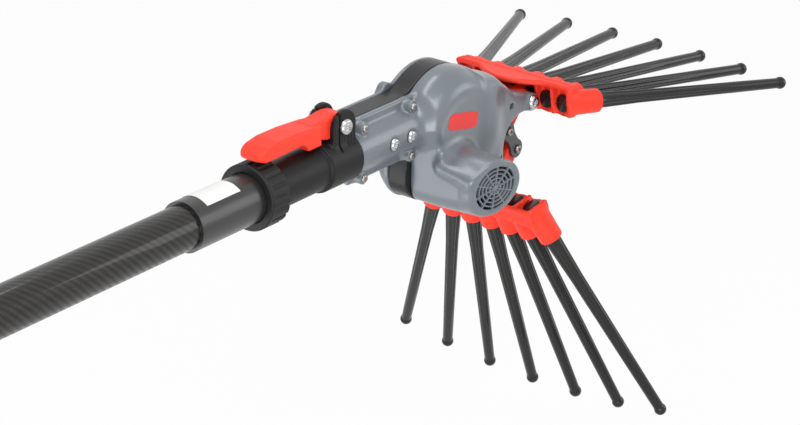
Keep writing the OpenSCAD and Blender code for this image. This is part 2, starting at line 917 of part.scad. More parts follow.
module cooling_fan() color(black) in_head() {
    difference() {
        union() {
            y_rod(motor_at, 2 * shaft_r, shaft_back, shaft_back + fan_t);
            translate([motor_at[0], 0, motor_at[1]]) for (k = [0 : fan_blades - 1])
                rotate([0, 360 * k / fan_blades, 0])
                    box([shaft_r, shaft_back, -blade_t / 2],
                        [can_r * fan_share, shaft_back + fan_t, blade_t / 2]);
        }
        y_rod(motor_at, shaft_r, shaft_back - over, shaft_back + fan_t + over);
    }
}

// Gears, crank and drive rod

// Four corners of every tooth; the first tooth points at the given angle
function gear_points(teeth, turn) = [for (i = [0 : teeth - 1], c = [-1, 1], e = c < 0 ? [0, 1] : [1, 0])
    let (r = teeth * gear_module / 2 + gear_module * (e ? addendum_share : -dedendum_share),
        a = turn + 360 / teeth * (i + c * (e ? tooth_top_share : tooth_foot_share)))
    r * [cos(a), sin(a)]];

module gear(at, teeth, turn, r_bore) {
    difference() {
        translate([at[0], 0, at[1]]) slab(gear_y, gear_end) polygon(gear_points(teeth, turn));
        y_rod(at, r_bore, gear_y - over, gear_end + over);
    }
}

module pinion() color(steel) in_head() {
    gear(motor_at, pinion_teeth, gear_lean + 180 / pinion_teeth, shaft_r);
}

module crank_gear() color(steel) in_head() {
    gear(crank_at, gear_teeth, gear_lean + 180, crank_shaft_r);
}

// At rest the crank pin stands square to the drive rod
module crank_shaft() color(steel) in_head() {
    y_rod(crank_at, crank_shaft_r, gear_y - crank_web, rear_end - bearing_inset / 2);
    y_rod(crank_at, crank_r + crank_pin_r + crank_web, gear_y - crank_web, gear_y);
    y_rod(crank_pin_at, crank_pin_r, -rod_half - pin_past, gear_y);
}

module crank_roller() color(steel) in_head() {
    y_ring(crank_pin_at, crank_pin_r + run, roller_r, -rod_half, rod_half);
}

module crank_bearings() color(steel) in_head() {
    for (y = [crank_boss_y, rear_end - bearing_w - bearing_inset])
        y_ring(crank_at, crank_shaft_r + run, crank_seat_r, y, y + bearing_w);
}

// A block on the drive rod's line, given by half of its length, height and thickness
module plate(s, half_s, half_h, half_t) {
    box([s - half_s, -half_t, -half_h], [s + half_s, half_t, half_h]);
}

// Yoke with a cross slot for the roller, round shank, and an end with a cross slot for the pin
module drive_rod() color(steel) in_head() {
    slot_w = roller_r + slot_gap;
    slot_h = crank_r + roller_r + slot_gap;
    pin_w = link_pin_r + slot_gap;
    pin_h = link_pin_r + pin_side / 2 + slot_gap;
    difference() {
        union() {
            in_rod() plate(0, slot_w + yoke_wall, slot_h + yoke_wall, rod_half);
            rod_line(rod_half, slot_w, rod_span - pin_w);
            in_rod() plate(rod_span, pin_w + eye_wall, pin_h + eye_wall, rod_half);
        }
        in_rod() plate(0, slot_w, slot_h, rod_t);
        in_rod() plate(rod_span, pin_w, pin_h, rod_t);
    }
}

module rod_guide() color(bronze) in_head() {
    difference() {
        rod_line(guide_r, guide_start, guide_start + guide_len);
        rod_line(rod_half + run, guide_start - over, guide_start + guide_len + over);
    }
}

// Link and pivots

module link_head(at) {
    y_rod(at, link_pin_r, -hub_half - loose, hub_half + loose);
    for (side = [0, 1]) mirror([0, side, 0])
        y_turn(at, -hub_half - loose)
            dome2d(link_pin_r * (1 + link_head_share), link_pin_d * head_h_share, link_pin_r * head_h_share);
}

module drive_pin() color(steel) in_head() {
    link_head(upper_link);
}

module link_bolt() color(steel) in_head() {
    link_head(lower_link);
}

// The lower hole is wide, because the link's circle is opened there
module link_plates() color("#3c4045") in_head() {
    for (side = [0, 1]) mirror([0, side, 0]) difference() {
        slab(link_in, hub_half) strap2d(upper_link, lower_link, arm_r);
        y_rod(upper_link, link_pin_r + run, -lug_in, lug_in);
        y_rod(lower_link, link_pin_r + link_play, -lug_in, lug_in);
    }
}

module pivot_bolts() color(steel) in_head() {
    for (at = [upper_at, lower_at]) button_bolt(at, pivot_r, -lug_out, lug_out + pivot_d * nut_share);
}

module pivot_nuts() color(steel) in_head() {
    for (at = [upper_at, lower_at]) hex_nut(at, pivot_r, lug_out, lug_out + pivot_d * nut_share);
}

// Combs: a comb's own frame has its pivot at the origin, X along the tines and Z outwards

module in_upper() {
    in_head() translate([upper_at[0], 0, upper_at[1]]) rotate([0, upper_slope, 0]) children();
}

module in_lower() {
    in_head() translate([lower_at[0], 0, lower_at[1]]) rotate([0, lower_slope, 0])
        mirror([0, 0, 1]) children();
}

// Frame of one tine in its row: X runs out of the socket, with the socket's end at zero
module at_tine(i) {
    k = i - tine_mid;
    translate([comb_reach - comb_setback * pow(k / tine_mid, 2), k * tine_pitch, 0])
        rotate([0, 0, k * tine_fan]) children();
}

// Rear edge of the deck: it swells backwards over the lugs
function deck_swell(y) = max(0, 1 - pow(y / (bar_half * deck_span_share), 2));

function deck_edge(y) = bar_back - (deck_back + bar_back) * pow(deck_swell(y), deck_bow);

module deck2d() {
    edge = [for (k = [0 : deck_steps]) let (y = bar_half * (2 * k / deck_steps - 1)) [deck_edge(y), y]];
    polygon(concat(edge, [[bar_front, bar_half], [bar_front, -bar_half]]));
}

// Walls stand between the windows behind the tines
function wall_y(i) = (i - tine_mid - 1 / 2) * (2 * bar_half - bar_wall) / tine_count;

module at_wall(i) {
    slab(wall_y(i) - bar_wall / 2, wall_y(i) + bar_wall / 2) children();
}

// A wall's rear edge slants forwards from the deck to the inner edge
module rib2d() {
    slant = (bar_front - bar_back) * rib_slant_share;
    polygon([[bar_back, bar_top], [bar_back + slant, -bar_low], [bar_front, -bar_low],
        [bar_front, bar_top]]);
}

// The two middle walls reach back to the hub
module web2d(rise) {
    polygon([[0, -hub_r / 2], [bar_front, rise - bar_low], [bar_front, rise + bar_top], [0, hub_r]]);
}

// Deck, front wall, walls and sockets of one row of tines
module rail() {
    translate([0, 0, bar_top - bar_wall]) linear_extrude(bar_wall) deck2d();
    box([bar_front - front_wall, -bar_half, -bar_low], [bar_front, bar_half, bar_top]);
    for (i = [0 : tine_count]) at_wall(i) rib2d();
    for (i = [0 : tine_count - 1])
        at_tine(i) rotate([0, -90, 0]) cylinder(r1 = socket_r, r2 = socket_r * draft_share, h = socket_run);
}

// Bores for the tines, with room for their plugs
module tine_room() {
    for (i = [0 : tine_count - 1]) at_tine(i) rotate([0, -90, 0]) {
        translate([0, 0, -over]) cylinder(r = tine_root_r, h = socket_run + front_wall);
        translate([0, 0, socket_run]) cylinder(r = plug_r + run, h = plug_len + over);
    }
}

module bar(rise) {
    difference() {
        union() {
            translate([0, 0, rise]) rail();
            y_rod([0, 0], hub_r, -hub_half, hub_half);
            for (i = [tine_mid, tine_mid + 1]) at_wall(i) web2d(rise);
        }
        translate([0, 0, rise]) tine_room();
    }
}

// Arms from the hub to the link pin, one on each side of the drive rod
module arms(from, to) {
    for (side = [0, 1]) mirror([0, side, 0]) slab(arm_in, arm_out) strap2d(from, to, arm_r);
}

module comb_bar(hub, pin) {
    difference() {
        union() {
            children();
            in_head() arms(hub, pin);
        }
        in_head() y_rod(hub, bush_r, -hub_half - over, hub_half + over);
        in_head() y_rod(pin, link_pin_r, -hub_half, hub_half);
    }
}

module upper_bar() color(red) comb_bar(upper_at, upper_link) in_upper() bar(upper_rise);

module lower_bar() color(red) comb_bar(lower_at, lower_link) in_lower() bar(lower_rise);

module upper_bush() color(bronze) in_head() {
    y_ring(upper_at, pivot_r + run, bush_r, -hub_half, hub_half);
}

module lower_bush() color(bronze) in_head() {
    y_ring(lower_at, pivot_r + run, bush_r, -hub_half, hub_half);
}

// Half profile of a tine along its axis: plug, root in the socket, shoulder, taper and round tip
module tine2d() {
    waist = tine_len - tip_r;
    difference() {
        union() {
            polygon([[0, -socket_run - plug_len], [plug_r, -socket_run - plug_len], [plug_r, -socket_run],
                [tine_root_r, -socket_run], [tine_root_r, 0], [flare_r, 0],
                [tine_root_r * neck_share, tine_len * root_share], [tine_tip_r, waist],
                [tine_tip_r, tine_len], [0, tine_len]]);
            translate([0, tine_len]) circle(tip_r);
        }
        translate([-tip_d, -tine_len]) square([tip_d, 3 * tine_len]);
    }
}

module tine(i) {
    at_tine(i) rotate([0, 90, 0]) rotate_extrude() tine2d();
}

module upper_tine(i) color(black) in_upper() translate([0, 0, upper_rise]) tine(i - 1);

module lower_tine(i) color(black) in_lower() translate([0, 0, lower_rise]) tine(i - 1);

carbon_tube();
joint_socket();
end_sleeve();
sleeve_label();
ring_nut();
clamp_body();
clamp_pad();
cam_lever();
lever_bolt();
lever_nut();
inner_tube();
lead_grommet();
front_shell();
middle_frame();
rear_shell();
shell_screws();
neck_bolts();
neck_nuts();
blank_badge();
motor_can();
motor_magnets();
motor_bearings();
armature();
motor_shaft();
cooling_fan();
pinion();
crank_gear();
crank_shaft();
crank_roller();
crank_bearings();
drive_rod();
rod_guide();
drive_pin();
link_plates();
link_bolt();
pivot_bolts();
pivot_nuts();
upper_bar();
upper_bush();
lower_bar();
lower_bush();
upper_tine(1);  // upper_tine_1
upper_tine(2);  // upper_tine_2
upper_tine(3);  // upper_tine_3
upper_tine(4);  // upper_tine_4
upper_tine(5);  // upper_tine_5
upper_tine(6);  // upper_tine_6
upper_tine(7);  // upper_tine_7
lower_tine(1);  // lower_tine_1
lower_tine(2);  // lower_tine_2
lower_tine(3);  // lower_tine_3
lower_tine(4);  // lower_tine_4
lower_tine(5);  // lower_tine_5
lower_tine(6);  // lower_tine_6
lower_tine(7);  // lower_tine_7
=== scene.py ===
"""Electric olive harvester: two clapping combs on the clamped top section of a carbon pole.

Sizes are millimetres in the frame of the CAD model and become metres in the meshes.
Turned pieces are grids of two parameters. The cast and moulded pieces, whose forms melt
into each other, are level surfaces of a distance field on a grid.
"""
import json
import logging
import math
from dataclasses import dataclass, field
from enum import Enum
from typing import Callable, Sequence

import bmesh
import bpy
import numpy as np
from mathutils import Matrix, Vector


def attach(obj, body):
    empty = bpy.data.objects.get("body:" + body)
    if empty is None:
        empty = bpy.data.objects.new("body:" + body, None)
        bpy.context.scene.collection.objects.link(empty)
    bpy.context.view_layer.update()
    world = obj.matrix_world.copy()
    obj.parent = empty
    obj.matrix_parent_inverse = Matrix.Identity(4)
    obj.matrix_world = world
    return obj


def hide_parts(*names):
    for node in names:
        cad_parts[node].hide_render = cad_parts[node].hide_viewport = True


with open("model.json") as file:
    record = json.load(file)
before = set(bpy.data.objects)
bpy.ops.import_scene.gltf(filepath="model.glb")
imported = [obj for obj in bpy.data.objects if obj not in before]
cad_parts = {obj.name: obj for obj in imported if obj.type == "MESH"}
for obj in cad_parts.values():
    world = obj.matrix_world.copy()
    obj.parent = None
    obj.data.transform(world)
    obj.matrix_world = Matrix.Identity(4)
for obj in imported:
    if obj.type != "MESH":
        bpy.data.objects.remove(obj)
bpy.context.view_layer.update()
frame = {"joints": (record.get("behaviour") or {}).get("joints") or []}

LOG = logging.getLogger("harvester")
Array = np.ndarray
Field = Callable[[Array, Array, Array], Array]
Point2 = tuple[float, float]
Point3 = tuple[float, float, float]
Ends = tuple[Point3, Point3]
WHITE = (1.0, 1.0, 1.0, 1.0)
MM = 0.001
HEAD_X = 520.0


def pivot(joint: str, start: float = HEAD_X) -> Point2:
    """Place of a hinge of the frame in the XZ plane.

    Args:
        joint: Name of the joint.
        start: Place on the pole that X is measured from.

    Returns:
        The hinge's X and Z in millimetres.
    """
    place = next(j["pos_m"] for j in frame["joints"] if j["name"] == joint)
    return round(place[0] / MM - start, 3), round(place[2] / MM, 3)


MOTOR, CRANK = pivot("rotor_turn"), pivot("crank_turn")
UPPER, LOWER = pivot("upper_swing"), pivot("lower_swing")
UPPER_PIN = pivot("link_swing")
LOWER_PIN = (UPPER[0] + LOWER[0] - UPPER_PIN[0], UPPER[1] + LOWER[1] - UPPER_PIN[1])
LEVER_PIVOT = pivot("lever_flip", 0.0)


# Distance fields: negative inside, in millimetres


def rounded(a: Array, b: Array, edge: float) -> Array:
    """Intersection of two fields whose common edge is rounded.

    Args:
        a: First distance.
        b: Second distance.
        edge: Radius of the rounded edge.

    Returns:
        The longer distance inside, and the distance to the round edge outside.
    """
    a, b = a + edge, b + edge
    return np.minimum(np.maximum(a, b), 0) + np.hypot(np.maximum(a, 0), np.maximum(b, 0)) - edge


def melt(a: Array, b: Array, reach: float) -> Array:
    """Union with a fillet: the lower field, dipped where the two differ by less than reach."""
    near = np.maximum(reach - np.abs(a - b), 0) / reach
    return np.minimum(a, b) - near * near * reach / 4


def carve(a: Array, b: Array, reach: float = 0.6) -> Array:
    """Field a with b cut out, and the cut's rim eased over reach."""
    return -melt(-a, b, reach)


def slab(flat: Array, h: Array, span: Point2, edge: float) -> Array:
    """An outline's field carried along one coordinate between two ends, with rounded rims."""
    middle, half = (span[0] + span[1]) / 2, (span[1] - span[0]) / 2
    return rounded(flat, np.abs(h - middle) - half, edge)


def rod_y(x: Array, y: Array, z: Array, at: Point2, r: float, span: Point2, edge: float) -> Array:
    """Round bar along Y at a point of the XZ plane, with rounded rims."""
    return slab(np.hypot(x - at[0], z - at[1]) - r, y, span, edge)


def rod_x(x: Array, y: Array, z: Array, r: float, span: Point2, edge: float) -> Array:
    """Round bar along X on the pole's axis, with rounded rims."""
    return slab(np.hypot(y, z) - r, x, span, edge)


def strip(u: Array, v: Array, p: Point2, q: Point2, r: float) -> Array:
    """Flat bar with round ends: distance to the segment from p to q, less r.

    Args:
        u: First coordinates.
        v: Second coordinates.
        p: One end of the bar's middle line.
        q: Its other end.
        r: Half the bar's width.

    Returns:
        Distances to the bar.
    """
    du, dv = q[0] - p[0], q[1] - p[1]
    share = np.clip(((u - p[0]) * du + (v - p[1]) * dv) / (du * du + dv * dv), 0, 1)
    return np.hypot(u - p[0] - share * du, v - p[1] - share * dv) - r


def outline(u: Array, v: Array, points: Sequence[Point2]) -> Array:
    """Distance to a closed outline: to its nearest side, negative where a ray crosses it oddly.

    Args:
        u: First coordinates.
        v: Second coordinates.
        points: Corners in order.

    Returns:
        Signed distances.
    """
    best, inside = np.inf, False
    for p, q in zip(points, list(points[1:]) + [points[0]]):
        best = np.minimum(best, strip(u, v, p, q, 0.0))
        if p[1] != q[1]:
            across = (v < p[1]) != (v < q[1])
            inside = inside ^ (across & (u < p[0] + (v - p[1]) * (q[0] - p[0]) / (q[1] - p[1])))
    return np.where(inside, -best, best)


def capsule(x: Array, y: Array, z: Array, p: Sequence[float], q: Sequence[float], r: Point2) -> Array:
    """Rod with round ends, whose radius runs evenly from one end to the other.

    Args:
        x: First coordinates.
        y: Second coordinates.
        z: Third coordinates.
        p: One end of the rod's middle line.
        q: Its other end.
        r: Radii at the two ends.

    Returns:
        Distances to the rod.
    """
    d = [b - a for a, b in zip(p, q)]
    share = ((x - p[0]) * d[0] + (y - p[1]) * d[1] + (z - p[2]) * d[2]) / sum(c * c for c in d)
    share = np.clip(share, 0, 1)
    gap = np.sqrt(sum((c - a - share * e) ** 2 for c, a, e in zip((x, y, z), p, d)))
    return gap - r[0] - share * (r[1] - r[0])


# Meshes


@dataclass
class Surface:
    """Vertices in millimetres and the faces over them."""

    points: Array
    faces: Array

    def placed(self, matrix: Matrix) -> "Surface":
        """The surface moved by a matrix in millimetres."""
        m = np.array(matrix)
        return Surface(self.points @ m[:3, :3].T + m[:3, 3], self.faces)

    def outward(self) -> "Surface":
        """The surface with its faces turned so that the volume it closes is positive.

        Returns:
            The surface itself, or one with every face reversed.
        """
        p = self.points[self.faces]
        volume = np.einsum("ij,ij->i", p[:, 0], np.cross(p[:, 1], p[:, 2])).sum()
        volume += np.einsum("ij,ij->i", p[:, 0], np.cross(p[:, 2], p[:, 3])).sum()
        return self if volume > 0 else Surface(self.points, self.faces[:, ::-1])


def joined(parts: Sequence[Surface]) -> Surface:
    """Several surfaces as one list of vertices and faces.

    Args:
        parts: The surfaces.

    Returns:
        One surface.
    """
    starts = np.cumsum([0] + [len(s.points) for s in parts[:-1]])
    return Surface(
        np.concatenate([s.points for s in parts]),
        np.concatenate([s.faces + start for s, start in zip(parts, starts)]),
    )


CORNERS = np.array([(i, j, k) for i in (0, 1) for j in (0, 1) for k in (0, 1)])
CELL_EDGES = [(a, b) for a in range(8) for b in range(a) if np.abs(CORNERS[a] - CORNERS[b]).sum() == 1]
CELLS_ROUND_EDGE = ((1, 1), (0, 1), (0, 0), (1, 0))


def crossed_cells(values: Array) -> tuple[Array, Array]:
    """Finds the cells that a field's zero level crosses, and a point in each one.

    A cell's point is the mean of the crossings on its twelve edges.

    Args:
        values: The field on the grid.

    Returns:
        The cells' places on the grid, and their points, both counted in cells.
    """
    inside = values < 0
    size = np.array(values.shape) - 1
    total = np.zeros(size, np.int8)
    for i, j, k in CORNERS:
        total += inside[i : size[0] + i, j : size[1] + j, k : size[2] + k]
    cells = np.argwhere((total > 0) & (total < len(CORNERS)))
    at = cells[:, None, :] + CORNERS[None]
    corner_values = values[at[..., 0], at[..., 1], at[..., 2]]
    place, weight = np.zeros((len(cells), 3)), np.zeros((len(cells), 1))
    for a, b in CELL_EDGES:
        first, second = corner_values[:, a], corner_values[:, b]
        crossed = ((first < 0) != (second < 0))[:, None]
        share = (first / np.where(first == second, 1, first - second))[:, None]
        place += np.where(crossed, CORNERS[a] + share * (CORNERS[b] - CORNERS[a]), 0)
        weight += crossed
    return cells, cells + place / weight


def net_faces(inside: Array, cells: Array) -> Array:
    """Faces of the net: each grid edge that changes sign joins the four cells round it.

    Args:
        inside: Whether each point of the grid lies inside.
        cells: Places of the crossed cells on the grid.

    Returns:
        Numbers of four cells for each face.
    """
    size = np.array(inside.shape)
    number = np.full(size - 1, -1, np.int32)
    number[tuple(cells.T)] = np.arange(len(cells))
    faces = []
    for a in range(3):
        across = [(a + 1) % 3, (a + 2) % 3]
        before, after = [slice(None)] * 3, [slice(None)] * 3
        before[a], after[a] = slice(0, -1), slice(1, None)
        edge = np.argwhere(inside[tuple(before)] != inside[tuple(after)])
        within = (edge[:, across] > 0) & (edge[:, across] < size[across] - 1)
        edge = edge[within.all(1)]
        ring = []
        for step in CELLS_ROUND_EDGE:
            cell_at = edge.copy()
            cell_at[:, across] -= step
            ring.append(number[tuple(cell_at.T)])
        quad = np.stack(ring, 1)
        flip = ~inside[tuple(edge.T)]
        quad[flip] = quad[flip][:, ::-1]
        faces.append(quad)
    return np.concatenate(faces)


def level_surface(shape: Field, low: Sequence[float], high: Sequence[float], cell: float) -> Surface:
    """Surface where a field is zero, as a net with one point in each cell that it crosses.

    Two steps along the field's gradient then set the points on the surface: a step is
    the field's value times its slope over the slope's square, and half a cell at most.

    Args:
        shape: The field.
        low: Lowest corner of the grid.
        high: Highest corner of the grid.
        cell: Size of a cell.

    Returns:
        The closed surface, with its faces outwards.
    """
    margin, steps, least_steep = 2 * cell, 2, 0.25
    low = np.asarray(low, float) - margin
    count = np.ceil((np.asarray(high) + margin - low) / cell).astype(int) + 1
    axes = np.ix_(*(low[a] + cell * np.arange(count[a]) for a in range(3)))
    values = np.broadcast_to(shape(*axes), count).astype(np.float32)
    cells, places = crossed_cells(values)
    points = low + cell * places
    probe = cell / 4
    for _ in range(steps):
        rises = [shape(*(points + probe * e).T) - shape(*(points - probe * e).T) for e in np.eye(3)]
        slope = np.stack(rises, 1) / (2 * probe)
        steep = np.maximum((slope * slope).sum(1), least_steep)
        move = shape(*points.T)[:, None] * slope / steep[:, None]
        points = points - np.clip(move, -cell / 2, cell / 2)
    return Surface(points, net_faces(values < 0, cells)).outward()


def grid(points: Array, wrap_rows: bool = False) -> Surface:
    """Faces over a grid of points whose columns close into rings.

    Args:
        points: Rows by columns by three.
        wrap_rows: Whether the last row joins the first one too.

    Returns:
        The surface, with its faces outwards where it is closed.
    """
    rows, columns = points.shape[:2]
    i, j = np.meshgrid(np.arange(rows if wrap_rows else rows - 1), np.arange(columns), indexing="ij")
    i2, j2 = (i + 1) % rows, (j + 1) % columns
    faces = np.stack([i * columns + j, i * columns + j2, i2 * columns + j2, i2 * columns + j], -1)
    return Surface(points.reshape(-1, 3), faces.reshape(-1, 4)).outward()


def turned(along: Array, radius: Array, segments: int = 48, wrap_rows: bool = False) -> Surface:
    """Surface of revolution about X: a point is (along, radius * cos t, radius * sin t).

    Args:
        along: Places of the profile's points on the axis.
        radius: Their radii: one each, or rows of one for each segment.
        segments: Points round the axis.
        wrap_rows: Whether the profile is a closed loop.

    Returns:
        The surface.
    """
    t = np.linspace(0, 2 * np.pi, segments, endpoint=False)
    along = np.asarray(along, float)
    radius = np.asarray(radius, float)
    radius = np.broadcast_to(radius if radius.ndim == 2 else radius[:, None], (len(along), segments))
    x = np.broadcast_to(along[:, None], radius.shape)
    return grid(np.stack([x, radius * np.cos(t), radius * np.sin(t)], -1), wrap_rows)


def eased(points: Sequence[Point2], edge: float, steps: int = 5) -> Array:
    """Profile whose inner corners are arcs: a corner's curve is the quadratic between its two cuts.

    Args:
        points: Corners of the open profile.
        edge: Length cut from both sides of a corner, at most half a side.
        steps: Points on each corner.

    Returns:
        Points of the profile, two columns.
    """
    p = np.asarray(points, float)
    before, corner, after = p[:-2], p[1:-1], p[2:]
    t = np.linspace(0, 1, steps)[None, :, None]

    def cut(other: Array) -> Array:
        """Place on a side where the corner's curve starts.

        Args:
            other: The side's far end.

        Returns:
            One place for each corner.
        """
        way = other - corner
        size = np.linalg.norm(way, axis=1, keepdims=True)
        return corner + way * np.minimum(edge / np.maximum(size, 1e-9), 0.5)

    start, end = cut(before)[:, None], cut(after)[:, None]
    curve = (1 - t) ** 2 * start + 2 * t * (1 - t) * corner[:, None] + t * t * end
    return np.concatenate([p[:1], curve.reshape(-1, 2), p[-1:]])


def piece(
    name: str, surface: Surface, body: str, nodes: Sequence[str], material: bpy.types.Material
) -> bpy.types.Object:
    """Puts a surface into the scene as one smooth piece on a body.

    Args:
        name: Name of the piece.
        surface: Its surface in millimetres.
        body: Body that it rides on.
        nodes: CAD nodes that it stands for.
        material: Its finish.

    Returns:
        The object.
    """
    merge, sharp = 1e-6, math.radians(50)
    mesh = bpy.data.meshes.new(name)
    count = len(surface.faces)
    mesh.vertices.add(len(surface.points))
    mesh.vertices.foreach_set("co", (surface.points * MM).astype(np.float32).ravel())
    mesh.loops.add(4 * count)
    mesh.loops.foreach_set("vertex_index", surface.faces.astype(np.int32).ravel())
    mesh.polygons.add(count)
    mesh.polygons.foreach_set("loop_start", np.arange(0, 4 * count, 4, dtype=np.int32))
    mesh.polygons.foreach_set("loop_total", np.full(count, 4, dtype=np.int32))
    mesh.update(calc_edges=True)
    work = bmesh.new()
    work.from_mesh(mesh)
    bmesh.ops.remove_doubles(work, verts=work.verts, dist=merge)
    work.to_mesh(mesh)
    work.free()
    mesh.validate()
    mesh.polygons.foreach_set("use_smooth", np.ones(len(mesh.polygons), dtype=bool))
    mesh.set_sharp_from_angle(angle=sharp)
    mesh.materials.append(material)
    thing = bpy.data.objects.new(name, mesh)
    bpy.context.scene.collection.objects.link(thing)
    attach(thing, body)
    if nodes:
        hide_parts(*nodes)
    LOG.info("%s: %d faces on %s", name, len(mesh.polygons), body)
    return thing


# Shader maths


class Value:
    """One output of a shader node; arithmetic on it adds Math nodes."""

    def __init__(self, tree: "Nodes", socket: bpy.types.NodeSocket) -> None:
        """Holds the socket and the tree that it belongs to."""
        self.tree, self.socket = tree, socket

    def _math(self, operation: str, a: "Value | float", b: "Value | float" = 0.0) -> "Value":
        """Adds one Math node on two values."""
        return self.tree.add("ShaderNodeMath", {"operation": operation}, {0: a, 1: b})

    def __add__(self, other: "Value | float") -> "Value":
        """Sum."""
        return self._math("ADD", self, other)

    def __radd__(self, other: float) -> "Value":
        """Sum with a number in front."""
        return self._math("ADD", other, self)

    def __sub__(self, other: "Value | float") -> "Value":
        """Difference."""
        return self._math("SUBTRACT", self, other)

    def __rsub__(self, other: float) -> "Value":
        """Difference from a number."""
        return self._math("SUBTRACT", other, self)

    def __mul__(self, other: "Value | float") -> "Value":
        """Product."""
        return self._math("MULTIPLY", self, other)

    def __rmul__(self, other: float) -> "Value":
        """Product with a number in front."""
        return self._math("MULTIPLY", other, self)

    def __truediv__(self, other: "Value | float") -> "Value":
        """Quotient."""
        return self._math("DIVIDE", self, other)

    def __rtruediv__(self, other: float) -> "Value":
        """A number divided by the value."""
        return self._math("DIVIDE", other, self)

    def __gt__(self, other: "Value | float") -> "Value":
        """One where the value is greater, else zero."""
        return self._math("GREATER_THAN", self, other)

    def floor(self) -> "Value":
        """Whole part."""
        return self._math("FLOOR", self)

    def wrap(self, size: float) -> "Value":
        """Remainder in the range from zero to size."""
        return self._math("FLOORED_MODULO", self, size)

    def sine(self) -> "Value":
        """Sine of the value in radians."""
        return self._math("SINE", self)

    def most(self, other: "Value") -> "Value":
        """The greater of two values."""
        return self._math("MAXIMUM", self, other)

    def angle(self, other: "Value") -> "Value":
        """Angle whose tangent is this value over the other one."""
        return self._math("ARCTAN2", self, other)


class Owner(Enum):
    """What a node tree belongs to, with the type of its shader."""

    MATERIAL = "BSDF_PRINCIPLED"
    WORLD = "BACKGROUND"


class Nodes:
    """The node tree of a material or a world, with its shader and the object's own coordinates."""

    def __init__(self, name: str, kind: Owner = Owner.MATERIAL) -> None:
        """Makes the owner with its shader.

        Args:
            name: Name of the material or world.
            kind: Which of the two it is.
        """
        self.owner = (bpy.data.worlds if kind is Owner.WORLD else bpy.data.materials).new(name)
        self.owner.use_nodes = True
        self.tree = self.owner.node_tree
        self.shader = self.node(kind.value)

    def node(self, kind: str) -> bpy.types.Node:
        """The first node of a type that the tree started with."""
        return next(n for n in self.tree.nodes if n.type == kind)

    def add(self, kind: str, settings: dict, sockets: dict, output: int | str = 0) -> Value:
        """Adds one node.

        Args:
            kind: Type name of the node.
            settings: Properties that are set first.
            sockets: Input sockets, by name or number, with their values or links.
            output: Output that is returned.

        Returns:
            The output as a value.
        """
        node = self.tree.nodes.new(kind)
        for key, value in settings.items():
            setattr(node, key, value)
        for key, value in sockets.items():
            self.put(node.inputs[key], value)
        return Value(self, node.outputs[output])

    def put(self, socket: bpy.types.NodeSocket, value: "Value | float | Sequence[float]") -> None:
        """Links a value to a socket, or sets the socket's own number or colour.

        Args:
            socket: The input.
            value: The value to link, or the number or colour to set.
        """
        if isinstance(value, Value):
            self.tree.links.new(value.socket, socket)
        else:
            socket.default_value = value

    def set(self, **values: "Value | float | Sequence[float]") -> None:
        """Sets sockets of the shader by their names with underscores for spaces."""
        for key, value in values.items():
            self.put(self.shader.inputs[key.replace("_", " ")], value)

    def place(self, scale: Sequence[float] = (1, 1, 1)) -> Value:
        """Object coordinates, stretched along the axes."""
        place = self.add("ShaderNodeTexCoord", {}, {}, "Object")
        return self.add("ShaderNodeMapping", {}, {"Vector": place, "Scale": scale})

    def axis(self, number: int) -> Value:
        """One of the object's own coordinates."""
        place = self.add("ShaderNodeTexCoord", {}, {}, "Object")
        return self.add("ShaderNodeSeparateXYZ", {}, {0: place}, number)

    def noise(self, scale: float, detail: float = 3.0, stretch: Sequence[float] = (1, 1, 1)) -> Value:
        """Noise between zero and one, with a scale in lumps to the metre."""
        sockets = {"Vector": self.place(stretch), "Scale": scale, "Detail": detail}
        return self.add("ShaderNodeTexNoise", {}, sockets)

    def mix(self, share: Value, a: Sequence[float], b: Sequence[float]) -> Value:
        """Mix of two colours, by the colour sockets of a Mix node."""
        return self.add("ShaderNodeMix", {"data_type": "RGBA"}, {0: share, 6: a, 7: b}, 2)

    def bump(self, height: Value, depth: float, strength: float = 1.0) -> None:
        """Raises the surface by a height between zero and one, times a depth in metres."""
        sockets = {"Height": height, "Distance": depth, "Strength": strength}
        self.set(Normal=self.add("ShaderNodeBump", {}, sockets))

    def seen(self) -> Value:
        """One for rays from the camera, mirrors and glass, else zero.

        Returns:
            The value.
        """
        kinds = ("Is Camera Ray", "Is Glossy Ray", "Is Transmission Ray")
        camera, glossy, glass = (self.add("ShaderNodeLightPath", {}, {}, kind) for kind in kinds)
        return camera.most(glossy).most(glass)

    def glow(self, share: Value) -> None:
        """Mixes a white glow into the material's shader.

        Args:
            share: Share of the glow.
        """
        light = self.add("ShaderNodeEmission", {}, {"Color": WHITE})
        shader = Value(self, self.shader.outputs[0])
        blend = self.add("ShaderNodeMixShader", {}, {0: share, 1: shader, 2: light})
        self.put(self.node("OUTPUT_MATERIAL").inputs["Surface"], blend)


def tone(colour: Sequence[float], factor: float) -> tuple[float, float, float, float]:
    """A colour made lighter or darker by a factor, with full alpha."""
    return tuple(c * factor for c in colour[:3]) + (1.0,)


